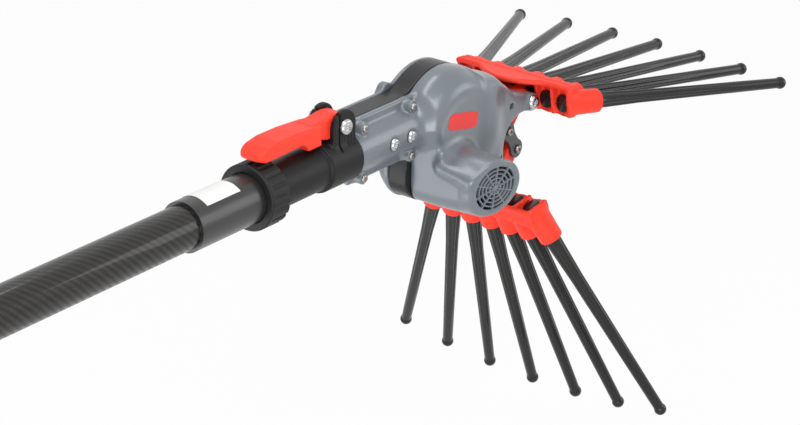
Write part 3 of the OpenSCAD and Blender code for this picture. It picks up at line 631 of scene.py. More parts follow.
@dataclass(frozen=True)
class Moulded:
    """Plastic or paint: a colour with soft mottling, a fine grain and an optional clear coat.

    Clouds, dust and grain are in lumps to the metre, and the grain's depth is in metres.
    """

    name: str
    colour: Point3
    roughness: float
    grain: float = 1800.0
    depth: float = 0.00002
    mottle: float = 0.14
    coat: float = 0.0
    metallic: float = 0.0
    shine: float = 0.5
    haze: float = 0.06
    clouds: float = 38.0
    dust: float = 420.0
    cloud_sheen: float = 0.06
    dust_sheen: float = 0.12

    def material(self) -> bpy.types.Material:
        """Builds the nodes: slow noise for colour and sheen, fast noise for the grain.

        Returns:
            The material.
        """
        nodes = Nodes(self.name)
        slow = nodes.noise(self.clouds, detail=4.0)
        fast = nodes.noise(self.grain, detail=2.0)
        dust = nodes.noise(self.dust, detail=5.0)
        sheen = (dust - 0.5) * self.dust_sheen + (slow - 0.5) * self.cloud_sheen
        dark, light = tone(self.colour, 1 - self.mottle), tone(self.colour, 1 + self.mottle)
        nodes.set(
            Base_Color=nodes.mix(slow, dark, light),
            Roughness=self.roughness + sheen,
            Metallic=self.metallic,
            Coat_Weight=self.coat,
            Coat_Roughness=self.haze,
            Specular_IOR_Level=self.shine,
        )
        nodes.bump(fast, self.depth)
        return nodes.owner


@dataclass(frozen=True)
class Plated:
    """Turned or plated metal: fine lines round the piece and cloudy wear."""

    name: str
    colour: Point3
    roughness: float
    lines: float = 2600.0
    line_stretch: Point3 = (1.0, 0.15, 1.0)
    line_depth: float = 0.00001
    line_sheen: float = 0.08
    wear: float = 160.0
    wear_sheen: float = 0.16
    wear_tones: Point2 = (0.8, 1.1)

    def material(self) -> bpy.types.Material:
        """Builds the nodes: stretched noise for the lines, slow noise for the wear.

        Returns:
            The material.
        """
        nodes = Nodes(self.name)
        wear = nodes.noise(self.wear, detail=4.0)
        lines = nodes.noise(self.lines, detail=2.0, stretch=self.line_stretch)
        worn, bright = (tone(self.colour, factor) for factor in self.wear_tones)
        nodes.set(
            Base_Color=nodes.mix(wear, worn, bright),
            Metallic=1.0,
            Roughness=self.roughness + (wear - 0.5) * self.wear_sheen + (lines - 0.5) * self.line_sheen,
        )
        nodes.bump(lines, self.line_depth)
        return nodes.owner


@dataclass(frozen=True)
class CarbonTwill:
    """Two-by-two twill wound on a tube along X, under a clear coat. Its lengths are in metres."""

    name: str
    radius: float
    tow: float = 0.0018
    # dark is the tows' own colour; light is the colour of their painted sheen
    dark: Point3 = (0.0035, 0.003, 0.0028)
    light: Point3 = (0.028, 0.026, 0.0245)
    repeat: int = 4
    # Painted sheen and shade: the warp tows' share of the weft tows' sheen, and the share left at the tow
    # edges
    painted_warp_sheen: float = 0.25
    painted_edge_shade: float = 0.45
    streaks: float = 900.0
    streak_stretch: Point3 = (0.2, 1.0, 1.0)
    streak_least: float = 0.55
    streak_gain: float = 0.9
    roughness: float = 0.42
    weft_gloss: float = 0.14
    shine: float = 0.16
    coat: float = 0.42
    haze: float = 0.04
    crown_depth: float = 0.00003
    crown_strength: float = 0.5

    def material(self) -> bpy.types.Material:
        """Builds the weave: the tow on top changes with the steps along and round the tube.

        The steps are the whole parts of x over the tow and of the arc over the tow. Their
        sum modulo four is below two where the warp lies on top, and each tow is crowned
        by a sine across its width. The base colour paints sheen and shade on the weave: the
        weft tows lighter than the warp tows, each tow's edges shaded darker than its crown,
        and random streaks along the tube.

        Returns:
            The material.
        """
        nodes = Nodes(self.name)
        along = nodes.axis(0) / self.tow
        steps = round(2 * math.pi * self.radius / self.tow / self.repeat) * self.repeat
        around = nodes.axis(1).angle(nodes.axis(2)) * (steps / (2 * math.pi))
        weft = (along.floor() + around.floor()).wrap(self.repeat) > self.repeat / 2 - 0.5
        crown_along = (along.wrap(1.0) * math.pi).sine()
        crown_around = (around.wrap(1.0) * math.pi).sine()
        crown = weft * crown_along + (1 - weft) * crown_around
        streak = nodes.noise(self.streaks, stretch=self.streak_stretch)
        # Painted sheen and shade: weft tows lighter than warp tows, tow edges shaded darker than crowns,
        # with random streaks
        sheen = self.painted_warp_sheen + (1 - self.painted_warp_sheen) * weft
        sheen = sheen * (self.painted_edge_shade + (1 - self.painted_edge_shade) * crown)
        sheen = sheen * (self.streak_least + self.streak_gain * streak)
        nodes.set(
            Base_Color=nodes.mix(sheen, tone(self.dark, 1.0), tone(self.light, 1.0)),
            Roughness=self.roughness - self.weft_gloss * weft,
            Specular_IOR_Level=self.shine,
            Coat_Weight=self.coat,
            Coat_Roughness=self.haze,
        )
        nodes.bump(crown, self.crown_depth, self.crown_strength)
        return nodes.owner


@dataclass(frozen=True)
class Windings:
    """Enamelled wire and laminations: fine rings along the motor's axis."""

    name: str
    colour: Point3
    pitch: float = 0.0011
    depth: float = 0.0002
    groove_shade_tones: Point2 = (0.45, 1.1)
    metallic: float = 0.8
    roughness: float = 0.5
    gloss: float = 0.2

    def material(self) -> bpy.types.Material:
        """Builds the rings: a sine of the place along Y, which also paints shade into the grooves between
        them.

        Returns:
            The material.
        """
        nodes = Nodes(self.name)
        ring = (nodes.axis(1) * (2 * math.pi / self.pitch)).sine() * 0.5 + 0.5
        # Painted shade: the colour is darker in the grooves between the rings and lighter on their crests
        low, high = (tone(self.colour, factor) for factor in self.groove_shade_tones)
        nodes.set(
            Base_Color=nodes.mix(ring, low, high),
            Metallic=self.metallic,
            Roughness=self.roughness - self.gloss * ring,
        )
        nodes.bump(ring, self.depth)
        return nodes.owner


class Look(Enum):
    """The finishes of the harvester's pieces."""

    PAINT = Moulded(
        "grey_enamel", (0.15, 0.172, 0.194), roughness=0.34, grain=1600.0,
        depth=0.000006, mottle=0.03, coat=0.4, metallic=0.1, shine=0.45, haze=0.2,
    )
    FRAME = Moulded(
        "black_casting", (0.012, 0.012, 0.0125), roughness=0.36, grain=1500.0,
        depth=0.00001, mottle=0.15, coat=0.1, metallic=0.0, shine=0.25,
    )
    RED = Moulded(
        "red_nylon", (0.92, 0.05, 0.026), roughness=0.42, grain=2200.0,
        depth=0.000006, mottle=0.04, coat=0.0, metallic=0.0, shine=0.22,
    )
    TINE = Moulded(
        "tine_nylon", (0.011, 0.0106, 0.0102), roughness=0.27, grain=900.0,
        depth=0.000002, mottle=0.08, coat=0.1, metallic=0.0, shine=0.32,
    )
    BLACK = Moulded(
        "black_nylon", (0.01, 0.01, 0.0105), roughness=0.44, grain=2600.0,
        depth=0.000012, mottle=0.15, coat=0.0, metallic=0.0, shine=0.2,
    )
    SLEEVE = Moulded(
        "sleeve_nylon", (0.017, 0.0165, 0.016), roughness=0.33, grain=2600.0,
        depth=0.000006, mottle=0.1, coat=0.2, metallic=0.0, shine=0.5, haze=0.2,
    )
    RIBBED = Moulded(
        "ring_nylon", (0.01, 0.01, 0.0105), roughness=0.5, grain=2600.0,
        depth=0.000014, mottle=0.15, coat=0.0, metallic=0.0, shine=0.26,
    )
    RUBBER = Moulded(
        "soft_rubber", (0.009, 0.009, 0.009), roughness=0.75, grain=1400.0,
        depth=0.00004, mottle=0.2, coat=0.0, metallic=0.0, shine=0.25,
    )
    FILM = Moulded(
        "label_film", (0.84, 0.84, 0.83), roughness=0.4, grain=700.0,
        depth=0.00001, mottle=0.02, coat=0.1,
    )
    BADGE = Moulded(
        "badge_film", (0.8, 0.028, 0.022), roughness=0.35, grain=500.0,
        depth=0.000005, mottle=0.04, coat=0.15, metallic=0.0, shine=0.3,
    )
    LINK = Moulded(
        "link_steel", (0.085, 0.09, 0.096), roughness=0.42, grain=1600.0,
        depth=0.00001, mottle=0.12, coat=0.0, metallic=0.5,
    )
    IRON = Moulded(
        "sintered_iron", (0.05, 0.05, 0.055), roughness=0.6, grain=1500.0,
        depth=0.00004, mottle=0.2, coat=0.0, metallic=0.5,
    )
    PIN = Plated("dull_pins", (0.36, 0.34, 0.31), roughness=0.36)
    STEEL = Plated("zinc_plate", (0.52, 0.525, 0.535), roughness=0.26)
    ALLOY = Plated("turned_alloy", (0.7, 0.71, 0.72), roughness=0.3)
    BRONZE = Plated("oiled_bronze", (0.5, 0.34, 0.14), roughness=0.34)
    CARBON = CarbonTwill("carbon_twill", radius=0.0185)
    COPPER = Windings("wound_copper", (0.55, 0.26, 0.12))

    def material(self) -> bpy.types.Material:
        """The finish's material, made once."""
        return bpy.data.materials.get(self.value.name) or self.value.material()


# Sub-assemblies


@dataclass(frozen=True)
class Screw:
    """Button-headed screw along Y whose head has a six-lobed recess."""

    at: Point2
    shank_r: float
    seat: float
    end: float
    head_r: float
    head_h: float
    side: int = -1
    segments: int = 60
    crown_steps: int = 9
    crown_start_share: float = 0.12
    crown_powers: Point2 = (1.4, 0.75)
    rim_share: float = 0.08
    seat_share: float = 0.97
    lobes: int = 6
    lobe_share: float = 0.13
    drive_share: float = 0.46
    flat_share: float = 1.25
    taper_share: float = 0.96
    recess_shares: Point2 = (0.45, 0.42)

    def surface(self) -> Surface:
        """Head and shank as one turned grid.

        The profile runs from the shank's end over the seat and the crowned head to the
        recess. There the radius waves with six lobes: r * (1 + lobe * cos(6 t)).

        Returns:
            The screw's surface.
        """
        r, shank = self.head_r, self.shank_r
        drive = self.drive_share * r
        flat = self.flat_share * drive
        t = np.linspace(0, 2 * np.pi, self.segments, endpoint=False)
        crown = np.linspace(0, np.pi / 2, self.crown_steps)
        start = self.crown_start_share
        rise = start + (1 - start) * np.sin(crown) ** self.crown_powers[0]
        dome = flat + (r - flat) * np.cos(crown) ** self.crown_powers[1]
        head = -self.head_h * np.concatenate([[0, 0, self.rim_share], rise, [1, *self.recess_shares]])
        recess = [drive, drive * self.taper_share, 0.0]
        profile = np.concatenate([[shank, r * self.seat_share, r], dome, recess])
        wave = np.zeros(len(profile))
        wave[-3:-1] = self.lobe_share
        radius = profile[:, None] * (1 + wave[:, None] * np.cos(self.lobes * t))
        length = (self.end - self.seat) * -self.side
        along = np.concatenate([[length, length], head])
        radius = np.concatenate([np.outer([0.0, shank], np.ones(self.segments)), radius])
        turn = Matrix((
            (0, 0, 1, self.at[0]),
            (-self.side, 0, 0, self.seat),
            (0, 1, 0, self.at[1]),
            (0, 0, 0, 1),
        ))
        return turned(along, radius, self.segments).placed(turn).outward()


@dataclass(frozen=True)
class Fillets:
    """Radii with which the casting's forms melt into each other, and of its rounded edges."""

    brow: float = 5.0
    flank: float = 9.0
    side: float = 7.0
    ridge: float = 7.0
    face: float = 3.2
    housing: float = 13.0
    neck: float = 11.0
    arm: float = 9.0
    arm_edge: float = 5.0
    flange: float = 4.0
    flange_edge: float = 1.4
    boss: float = 3.0
    boss_edge: float = 0.8
    lug: float = 3.5
    edge: float = 1.2
    jaw: float = 1.2
    parting: float = 1.0
    hole: float = 0.8
    drill: float = 0.4
    drill_edge: float = 0.2
    corner: float = 5.0
    layer: float = 6.0
    layer_neck: float = 8.0
    layer_edge: float = 3.0
    frame_edge: float = 1.1
    frame_jaw: float = 1.0
    rear_edge: float = 10.0
    motor_boss: float = 9.0
    motor_boss_edge: float = 6.0
    knob_edge: float = 1.5


@dataclass
class Casing:
    """The cast housing: dome, motor housing, neck, column and lugs, in three layers.

    Places are in the head's own frame, which starts on the pole's axis at HEAD_X.
    """

    motor: Point2 = MOTOR
    crank: Point2 = CRANK
    upper: Point2 = UPPER
    lower: Point2 = LOWER
    upper_pin: Point2 = UPPER_PIN
    lower_pin: Point2 = LOWER_PIN
    soft: Fillets = Fillets()
    corner: Point2 = (68.0, -28.0)
    wall: float = 2.8
    thin_wall: float = 2.2
    flank_x: float = 74.8
    dome_r: float = 60.0
    dome_depth: float = 30.0
    dome_round: float = 22.0
    dome_x: float = 63.5
    dome_normal: Point2 = (0.9, 0.4366)
    brow_ring: float = 42.0
    brow_y: float = -20.3
    brow_r: float = 11.0
    rear_r: float = 52.0
    rear_wall: float = 10.0
    rear_end: float = 34.0
    frame_t: float = 19.0
    plate_t: float = 4.0
    knob: Point2 = (62.0, 26.5)
    knob_r: float = 7.5
    knob_h: float = 4.0
    housing_r: float = 29.5
    housing_depth: float = 74.0
    housing_reach: float = 84.0
    draft_in: float = 2.6
    draft_from: float = 25.0
    draft_run: float = 45.0
    side_x: float = 73.0
    side_slope: float = 0.4
    side_from: float = 50.0
    ridge: Ends = ((72.5, -34.0, -33.0), (76.0, -74.0, -41.5))
    ridge_r: Point2 = (6.5, 6.0)
    face_turn: Point2 = (16.0, 7.0)
    grille_r: float = 21.4
    grille_play: float = 0.6
    grille_room: float = 8.0
    grille_rings: int = 5
    grille_spokes: int = 10
    rib_share: float = 0.42
    rib_deep: float = 1.5
    rib_sunk: float = 0.35
    rib_points: int = 12
    neck_x: float = -21.5
    neck_r: float = 20.0
    flange_h: float = 28.0
    flange_half: float = 5.0
    jaw_r: float = 29.5
    hub_room_r: float = 11.0
    jaw_play: float = 1.5
    lug_r: float = 8.5
    lug_in: float = 20.3
    lug_out: float = 30.0
    column_x: float = 136.0
    column_in: float = 1.0
    rear_column_in: float = 0.5
    post: Ends = ((151.0, -13.6, 9.0), (158.0, -13.6, -58.0))
    post_r: Point2 = (17.5, 17.0)
    tube_r: float = 16.55
    tube_end: float = 59.3
    rod_way: Ends = ((150.0, 0.0, -28.4), (185.0, 0.0, -37.4))
    rod_way_r: Point2 = (6.6, 4.6)
    screw_x: Point2 = (-11.0, 55.6)
    screw_z: float = 22.3
    screw_seat: float = -13.5
    boss_r: float = 5.4
    boss_h: float = 3.0
    bolt_x: Point2 = (22.0, 46.0)
    seat_r: float = 6.4
    seat_y: float = -18.8
    hanger: Point2 = (182.5, -10.0)
    hanger_r: float = 3.2
    hanger_end: float = -18.0
    vent: Point2 = (166.6, -52.9)
    vent_r: float = 1.6
    vent_end: float = -20.0
    drill_start: float = -40.0
    badge_half: Point2 = (21.5, 7.6)
    badge_rise: float = 16.2
    badge_lean: float = 11.5
    badge_t: float = 0.6
    badge_ease: float = 0.25
    badge_power: float = 0.36
    front_cell: float = 1.25
    cell: float = 1.1

    def __post_init__(self) -> None:
        """Works out the jaw's centre, the end face's frame, the column's outline and the screws' places.

        The column's corners are shares of the radius of the round that each one lies near.
        """
        self.jaw = ((self.upper[0] + self.lower[0]) / 2, (self.upper[1] + self.lower[1]) / 2)
        lean, droop = (math.radians(a) for a in self.face_turn)
        turn = Matrix.Rotation(-lean, 4, "Z") @ Matrix.Rotation(droop, 4, "X")
        self.face = Matrix.Translation((self.motor[0], -self.housing_depth, self.motor[1])) @ turn
        self.normal = tuple(turn @ Vector((0, -1, 0)))
        dome_shares = ((0.40, 0.83), (0.66, 0.72), (0.894, 0.62), (1.127, 0.486), (1.327, 0.319))
        upper_shares = ((-0.18, 0.98), (-0.3, -0.95))
        lower_shares = ((0.95, 0.3), (-0.75, -0.66), (-2.76, 2.7))
        motor_shares = ((1.49, -0.5), (0.3, -0.9))
        self.column = []
        for at, r, shares in (
            (self.crank, self.dome_r, dome_shares),
            (self.upper, self.lug_r, upper_shares),
            (self.lower, self.lug_r, lower_shares),
            (self.motor, self.housing_r, motor_shares),
        ):
            self.column += [(at[0] + r * a, at[1] + r * b) for a, b in shares]
        self.column.append(self.crank)
        self.screws = [(x, z) for x in self.screw_x for z in (-self.screw_z, self.screw_z)]
        self.place = Matrix.Translation((HEAD_X, 0, 0))

    def from_crank(self, x: Array, z: Array) -> Array:
        """Distance from the crank's axis, which the dome stands round."""
        return np.hypot(x - self.crank[0], z - self.crank[1])

    def from_motor(self, x: Array, z: Array) -> Array:
        """Distance from the motor's axis."""
        return np.hypot(x - self.motor[0], z - self.motor[1])

    def past_neck(self, x: Array) -> Array:
        """Distance beyond either end of the neck, which runs to the crank's axis."""
        middle, half = (self.neck_x + self.crank[0]) / 2, (self.crank[0] - self.neck_x) / 2
        return np.abs(x - middle) - half

    def end_plane(self, x: Array, y: Array, z: Array) -> Array:
        """Distance beyond the motor housing's slanting end face."""
        n = self.normal
        return (x - self.motor[0]) * n[0] + (y + self.housing_depth) * n[1] + (z - self.motor[1]) * n[2]

    def jaw_cut(self, x: Array, y: Array, z: Array) -> Array:
        """The open jaw, and between the lugs the room for hubs, arms and link.

        Args:
            x: Places along the pole.
            y: Places across it.
            z: Heights.

        Returns:
            Distances to what is cut away.
        """
        gap = np.hypot(x - self.jaw[0], z - self.jaw[1]) - self.jaw_r
        upper_arm = strip(x, z, self.upper, self.upper_pin, self.hub_room_r)
        lower_arm = strip(x, z, self.lower, self.lower_pin, self.hub_room_r)
        hubs = np.minimum(upper_arm, lower_arm)
        room = np.maximum(np.minimum(gap - self.jaw_play, hubs), np.abs(y) - self.lug_in)
        return np.minimum(gap, room)

    def corner_cut(self, x: Array, z: Array, grow: float = 0.0) -> Array:
        """The corner of the dome's outline below the neck, which is cut away."""
        return np.maximum(x - self.corner[0] - grow, z - self.corner[1] - grow)

    def tube_cut(self, x: Array, y: Array, z: Array) -> Array:
        """Bore for the inner tube, and the drive rod's way from the dome to the jaw."""
        tube = np.maximum(np.hypot(y, z) - self.tube_r, x - self.tube_end)
        return np.minimum(tube, capsule(x, y, z, *self.rod_way, self.rod_way_r))

    def dome(self, x: Array, y: Array, z: Array) -> Array:
        """Skin of the dome: a round cap, a brow that is a ring of round section, and a slanting left side.

        Args:
            x: Places along the pole.
            y: Places across it.
            z: Heights.

        Returns:
            Distances to the skin.
        """
        rc = self.from_crank(x, z)
        cap = rounded(rc - self.dome_r, -y - self.dome_depth, self.dome_round)
        brow = np.hypot(rc - self.brow_ring, y - self.brow_y) - self.brow_r
        inside = x - self.dome_x
        flank = np.minimum(inside, self.dome_normal[0] * inside + self.dome_normal[1] * z)
        return carve(melt(cap, brow, self.soft.brow), flank, self.soft.flank)

    def draft(self, y: Array) -> Array:
        """How far the motor housing's side leans in at a depth."""
        return self.draft_in * np.clip((-y - self.draft_from) / self.draft_run, 0, 1)

    def barrel(self, x: Array, y: Array, z: Array) -> Array:
        """Side of the motor housing: a drafted round with a left flank that slants in with the depth.

        Args:
            x: Places along the pole.
            y: Places across it.
            z: Heights.

        Returns:
            Distances to the side.
        """
        side = self.side_x + self.side_slope * np.minimum(y + self.side_from, 0)
        skin = self.from_motor(x, z) - self.housing_r + self.draft(y)
        return carve(skin, x - side, self.soft.side)

    def column_post(self, x: Array, y: Array, z: Array) -> Array:
        """The flat arm that carries the lugs, and the round post that stands on it.

        Args:
            x: Places along the pole.
            y: Places across it.
            z: Heights.

        Returns:
            Distances to both.
        """
        flat = np.maximum(outline(x, z, self.column), self.column_x - x)
        arm = rounded(flat, -y - self.lug_out + self.column_in, self.soft.arm_edge)
        return melt(arm, capsule(x, y, z, *self.post, self.post_r), self.soft.arm)

    def hollow(self, x: Array, y: Array, z: Array, skin: Array, barrel: Array) -> Array:
        """Room inside the front shell: the dome and the motor housing less their walls, and the bores.

        Args:
            x: Places along the pole.
            y: Places across it.
            z: Heights.
            skin: Distances to the dome's skin.
            barrel: Distances to the motor housing's side.

        Returns:
            Distances to the room.
        """
        wall = self.wall
        cap = (self.from_crank(x, z) - self.dome_r + wall, -y - self.dome_depth + wall)
        inner = np.maximum(rounded(*cap, self.dome_round - wall), skin + wall)
        side = self.from_motor(x, z) - self.housing_r + wall + self.draft(y)
        room = np.maximum(side, self.end_plane(x, y, z) + wall)
        inner = np.minimum(inner, np.maximum(room, barrel + self.thin_wall))
        inner = np.maximum(inner, self.flank_x - x)
        return np.minimum(inner, self.tube_cut(x, y, z))

    def drilled(self, shape: Array, x: Array, y: Array, z: Array) -> Array:
        """The front shell with its air way, hanger hole, vent hole and the neck bolts' seats cut in.

        Args:
            shape: Distances to the uncut shell.
            x: Places along the pole.
            y: Places across it.
            z: Heights.

        Returns:
            Distances to the cut shell.
        """
        plane = self.end_plane(x, y, z)
        dx, dy, dz = x - self.motor[0], y + self.housing_depth, z - self.motor[1]
        around = np.sqrt(np.maximum(dx * dx + dy * dy + dz * dz - plane * plane, 0))
        air = np.maximum(around - self.grille_r - self.grille_play, -self.grille_room - plane)
        shape = carve(shape, air, self.soft.hole)
        holes = [(self.hanger, self.hanger_r, self.hanger_end, self.soft.hole)]
        holes.append((self.vent, self.vent_r, self.vent_end, self.soft.drill))
        holes += [((bolt, 0.0), self.seat_r, self.seat_y, self.soft.drill) for bolt in self.bolt_x]
        for at, r, end, rim in holes:
            hole = rod_y(x, y, z, at, r, (self.drill_start, end), self.soft.drill_edge)
            shape = carve(shape, hole, rim)
        return shape

    def bossed(self, shape: Array, x: Array, y: Array, z: Array, boss: Point2, lug: Point2) -> Array:
        """A shell with its screw bosses and pivot lugs melted on and the jaw cut out.

        Args:
            shape: Distances to the plain shell.
            x: Places along the pole.
            y: Places across it.
            z: Heights.
            boss: Ends of the bosses across the pole.
            lug: Ends of the lugs across the pole.

        Returns:
            Distances to the shell.
        """
        soft = self.soft
        rods = [(at, self.boss_r, boss, soft.boss_edge, soft.boss) for at in self.screws]
        rods += [(at, self.lug_r, lug, soft.edge, soft.lug) for at in (self.upper, self.lower)]
        for at, r, span, edge, fillet in rods:
            shape = melt(shape, rod_y(x, y, z, at, r, span, edge), fillet)
        return carve(shape, self.jaw_cut(x, y, z), soft.jaw)

    def front(self, x: Array, y: Array, z: Array) -> Array:
        """Front shell: dome, slanting motor housing, neck, column and lugs melted together.

        Args:
            x: Places along the pole.
            y: Places across it.
            z: Heights.

        Returns:
            Distances to the shell.
        """
        soft = self.soft
        skin, barrel = self.dome(x, y, z), self.barrel(x, y, z)
        ridged = melt(barrel, capsule(x, y, z, *self.ridge, self.ridge_r), soft.ridge)
        shape = melt(skin, rounded(ridged, self.end_plane(x, y, z), soft.face), soft.housing)
        neck = rod_x(x, y, z, self.neck_r, (self.neck_x, self.crank[0]), soft.edge)
        shape = melt(shape, neck, soft.neck)
        shape = melt(shape, self.column_post(x, y, z), soft.arm)
        flat = np.maximum(self.past_neck(x), np.abs(z) - self.flange_h)
        span = (-self.flange_half, self.flange_half)
        shape = melt(shape, slab(flat, y, span, soft.flange_edge), soft.flange)
        shape = self.bossed(shape, x, y, z, (self.screw_seat, self.flange_half), (-self.lug_out, 0.0))
        shape = np.maximum(shape, -self.hollow(x, y, z, skin, barrel))
        return -melt(-self.drilled(shape, x, y, z), -y, soft.parting)

    def layer(self, x: Array, z: Array) -> Array:
        """Outline that the three layers share: circles, column and neck with filleted corners.

        Args:
            x: Places along the pole.
            z: Heights.

        Returns:
            Distances to the outline.
        """
        soft = self.soft
        neck = rounded(self.past_neck(x), np.abs(z) - self.flange_h, soft.layer_edge)
        dome = carve(self.from_crank(x, z) - self.dome_r, self.corner_cut(x, z), soft.corner)
        motor = self.from_motor(x, z) - self.housing_r
        shape = melt(np.minimum(dome, outline(x, z, self.column)), motor, soft.layer)
        for at in (self.upper, self.lower):
            shape = np.minimum(shape, np.hypot(x - at[0], z - at[1]) - self.lug_r)
        return melt(shape, neck, soft.layer_neck)

    def middle(self, x: Array, y: Array, z: Array) -> Array:
        """Middle frame: the layer's outline with eased rims, hollow inside its wall.

        Args:
            x: Places along the pole.
            y: Places across it.
            z: Heights.

        Returns:
            Distances to the frame.
        """
        shape = slab(self.layer(x, z), y, (0.0, self.frame_t), self.soft.frame_edge)
        dome = self.from_crank(x, z) - self.dome_r + self.wall
        dome = np.maximum(dome, -self.corner_cut(x, z, self.wall))
        motor = self.from_motor(x, z) - self.housing_r + self.wall
        room = np.maximum(np.minimum(dome, motor), self.flank_x - x)
        room = np.minimum(room, self.tube_cut(x, y, z))
        return np.maximum(carve(shape, self.jaw_cut(x, y, z), self.soft.frame_jaw), -room)

    def rear(self, x: Array, y: Array, z: Array) -> Array:
        """Rear shell: smaller dome, neck plate, motor boss, column and lugs.

        Args:
            x: Places along the pole.
            y: Places across it.
            z: Heights.

        Returns:
            Distances to the shell.
        """
        soft = self.soft
        start, plate = self.frame_t, self.frame_t + self.plate_t
        rc = self.from_crank(x, z)
        dome = rounded(rc - self.rear_r, y - self.rear_end, soft.rear_edge)
        shape = carve(dome, self.corner_cut(x, z), soft.corner)
        motor = self.from_motor(x, z) - self.housing_r
        shape = melt(shape, rounded(motor, y - self.lug_out, soft.motor_boss_edge), soft.motor_boss)
        span = (-self.lug_out, self.lug_out - self.rear_column_in)
        shape = melt(shape, slab(outline(x, z, self.column), y, span, soft.arm_edge), soft.arm)
        shape = melt(shape, rounded(self.layer(x, z), y - plate, soft.flange_edge), soft.flange)
        knob = rod_y(x, y, z, self.knob, self.knob_r, (start, plate + self.knob_h), soft.knob_edge)
        shape = melt(shape, knob, soft.flange)
        shape = self.bossed(shape, x, y, z, (start, plate + self.boss_h), (start, self.lug_out))
        room = np.maximum(rc - self.rear_r + self.rear_wall, -self.corner_cut(x, z, self.wall))
        shape = np.maximum(shape, -np.maximum(room, y - self.rear_end + self.wall))
        return -melt(-shape, y - start, soft.parting)

    def grille_rib(self) -> tuple[Array, Array]:
        """Section of a grille rib, a rounded square: (cos t, sin t) over the larger of the two to a power.

        Returns:
            Both coordinates of the section's points, for a half width of one.
        """
        square_power = -0.8
        angle = np.linspace(0, 2 * np.pi, self.rib_points, endpoint=False)
        square = np.maximum(np.abs(np.cos(angle)), np.abs(np.sin(angle))) ** square_power
        return np.cos(angle) * square, np.sin(angle) * square

    def grille(self) -> Surface:
        """Air grille in the slanting end: turned ring ribs, a hub and flat spokes.

        A ring's section is a rounded square carried round the face's normal. A spoke is the
        same section carried straight from the hub to the rim.

        Returns:
            All ribs as one surface.
        """
        pitch = self.grille_r / (self.grille_rings + 0.5)
        rib = pitch * self.rib_share / 2
        rim, rim_out, segments = 2.2 * rib, 1.4 * rib, 72
        wide, deep = self.grille_rib()
        deep = self.rib_deep * deep
        sunk = self.rib_deep + self.rib_sunk
        rings = [(0.0, pitch / 2)]
        rings += [(pitch * (i + 0.5), rib) for i in range(1, self.grille_rings + 1)]
        rings.append((self.grille_r + rim_out, rim))
        parts = [turned(deep + sunk, np.maximum(r + half * wide, 0.0), segments, True) for r, half in rings]
        closed = np.array([0.0, 1.0, 1.0, 0.0])[:, None]
        along = np.repeat([0.0, self.grille_r + 2 * rib], 2)[:, None] + 0 * closed * wide
        spoke = grid(np.stack([deep * closed + sunk, along, rib * wide * closed], -1)).outward()
        for k in range(self.grille_spokes):
            turn = Matrix.Rotation(2 * math.pi * (k + 0.5) / self.grille_spokes, 4, "X")
            parts.append(spoke.placed(turn))
        inward = Matrix(((0, 1, 0, 0), (1, 0, 0, 0), (0, 0, 1, 0), (0, 0, 0, 1)))
        return joined(parts).placed(self.place @ self.face @ inward)

    def badge(self) -> Surface:
        """Bare badge: a plate on the dome's flat with a squared oval outline and an eased rim.

        The outline is (a * cos(t) ** p, b * sin(t) ** p) with a power below one, signs kept.
        The rows run from the middle of the back over the rim to the middle of the face.

        Returns:
            The plate's surface.
        """
        segments, ease, top = 96, self.badge_ease, self.badge_t
        t = np.linspace(0, 2 * np.pi, segments, endpoint=False)
        u = np.sign(np.cos(t)) * np.abs(np.cos(t)) ** self.badge_power
        v = np.sign(np.sin(t)) * np.abs(np.sin(t)) ** self.badge_power
        deep = np.array([0.0, 0.0, top - ease, top, top, top])[:, None]
        inset = np.array([0.0, 0.0, 0.0, ease, 2 * ease, 2 * ease])[:, None]
        kept = np.array([0.0, 1.0, 1.0, 1.0, 1.0, 0.0])[:, None]
        x = (self.badge_half[0] - inset) * kept * u
        z = (self.badge_half[1] - inset) * kept * v
        at = Matrix.Translation((self.crank[0], -self.dome_depth, self.crank[1] + self.badge_rise))
        turn = Matrix.Rotation(math.radians(self.badge_lean), 4, "Y")
        plate = grid(np.stack([x, -deep + 0 * x, z], -1))
        return plate.placed(self.place @ at @ turn).outward()

    def build(self) -> None:
        """Makes the three layers, the grille, the badge and the screws."""
        left, right = self.neck_x, self.upper[0] + self.lug_r
        bottom, top = self.lower[1] - self.lug_r, self.crank[1] + self.dome_r
        paint = Look.PAINT.material()
        low, high = (left, -self.housing_reach, bottom), (right, 0.0, top)
        front = level_surface(self.front, low, high, self.front_cell).placed(self.place)
        shell = piece("front_shell_cast", front, "head", ["front_shell"], paint)
        grille = piece("air_grille", self.grille(), "head", [], paint)
        low, high = (left, 0.0, bottom), (right, self.frame_t, top)
        middle = level_surface(self.middle, low, high, self.cell).placed(self.place)
        piece("middle_frame_cast", middle, "head", ["middle_frame"], Look.FRAME.material())
        low, high = (left, self.frame_t, bottom), (right, self.rear_end, top)
        rear = level_surface(self.rear, low, high, self.cell).placed(self.place)
        piece("rear_shell_cast", rear, "head", ["rear_shell"], paint)
        piece("badge_plate", self.badge(), "head", ["blank_badge"], Look.BADGE.material())
        self.fasten()

    def fasten(self) -> None:
        """Makes the screws of the neck and the pivots."""
        steel, dull = Look.STEEL.material(), Look.PIN.material()
        small = [
            Screw(at, shank_r=2.0, seat=self.screw_seat, end=23.0, head_r=3.6, head_h=1.8)
            for at in self.screws
        ]
        neck = [
            Screw((x, 0.0), shank_r=3.0, seat=-19.4, end=28.1, head_r=5.4, head_h=2.7)
            for x in self.bolt_x
        ]
        pivots = [
            Screw(at, shank_r=4.0, seat=-self.lug_out, end=36.8, head_r=7.2, head_h=3.6)
            for at in (self.upper, self.lower)
        ]
        for name, node, screws, material in (
            ("shell_screw_set", "shell_screws", small, dull),
            ("neck_bolt_set", "neck_bolts", neck, steel),
            ("pivot_bolt_set", "pivot_bolts", pivots, steel),
        ):
            surface = joined([screw.surface() for screw in screws]).placed(self.place)
            piece(name, surface, "head", [node], material)


class Side(Enum):
    """The two combs."""

    UPPER = "upper"
    LOWER = "lower"


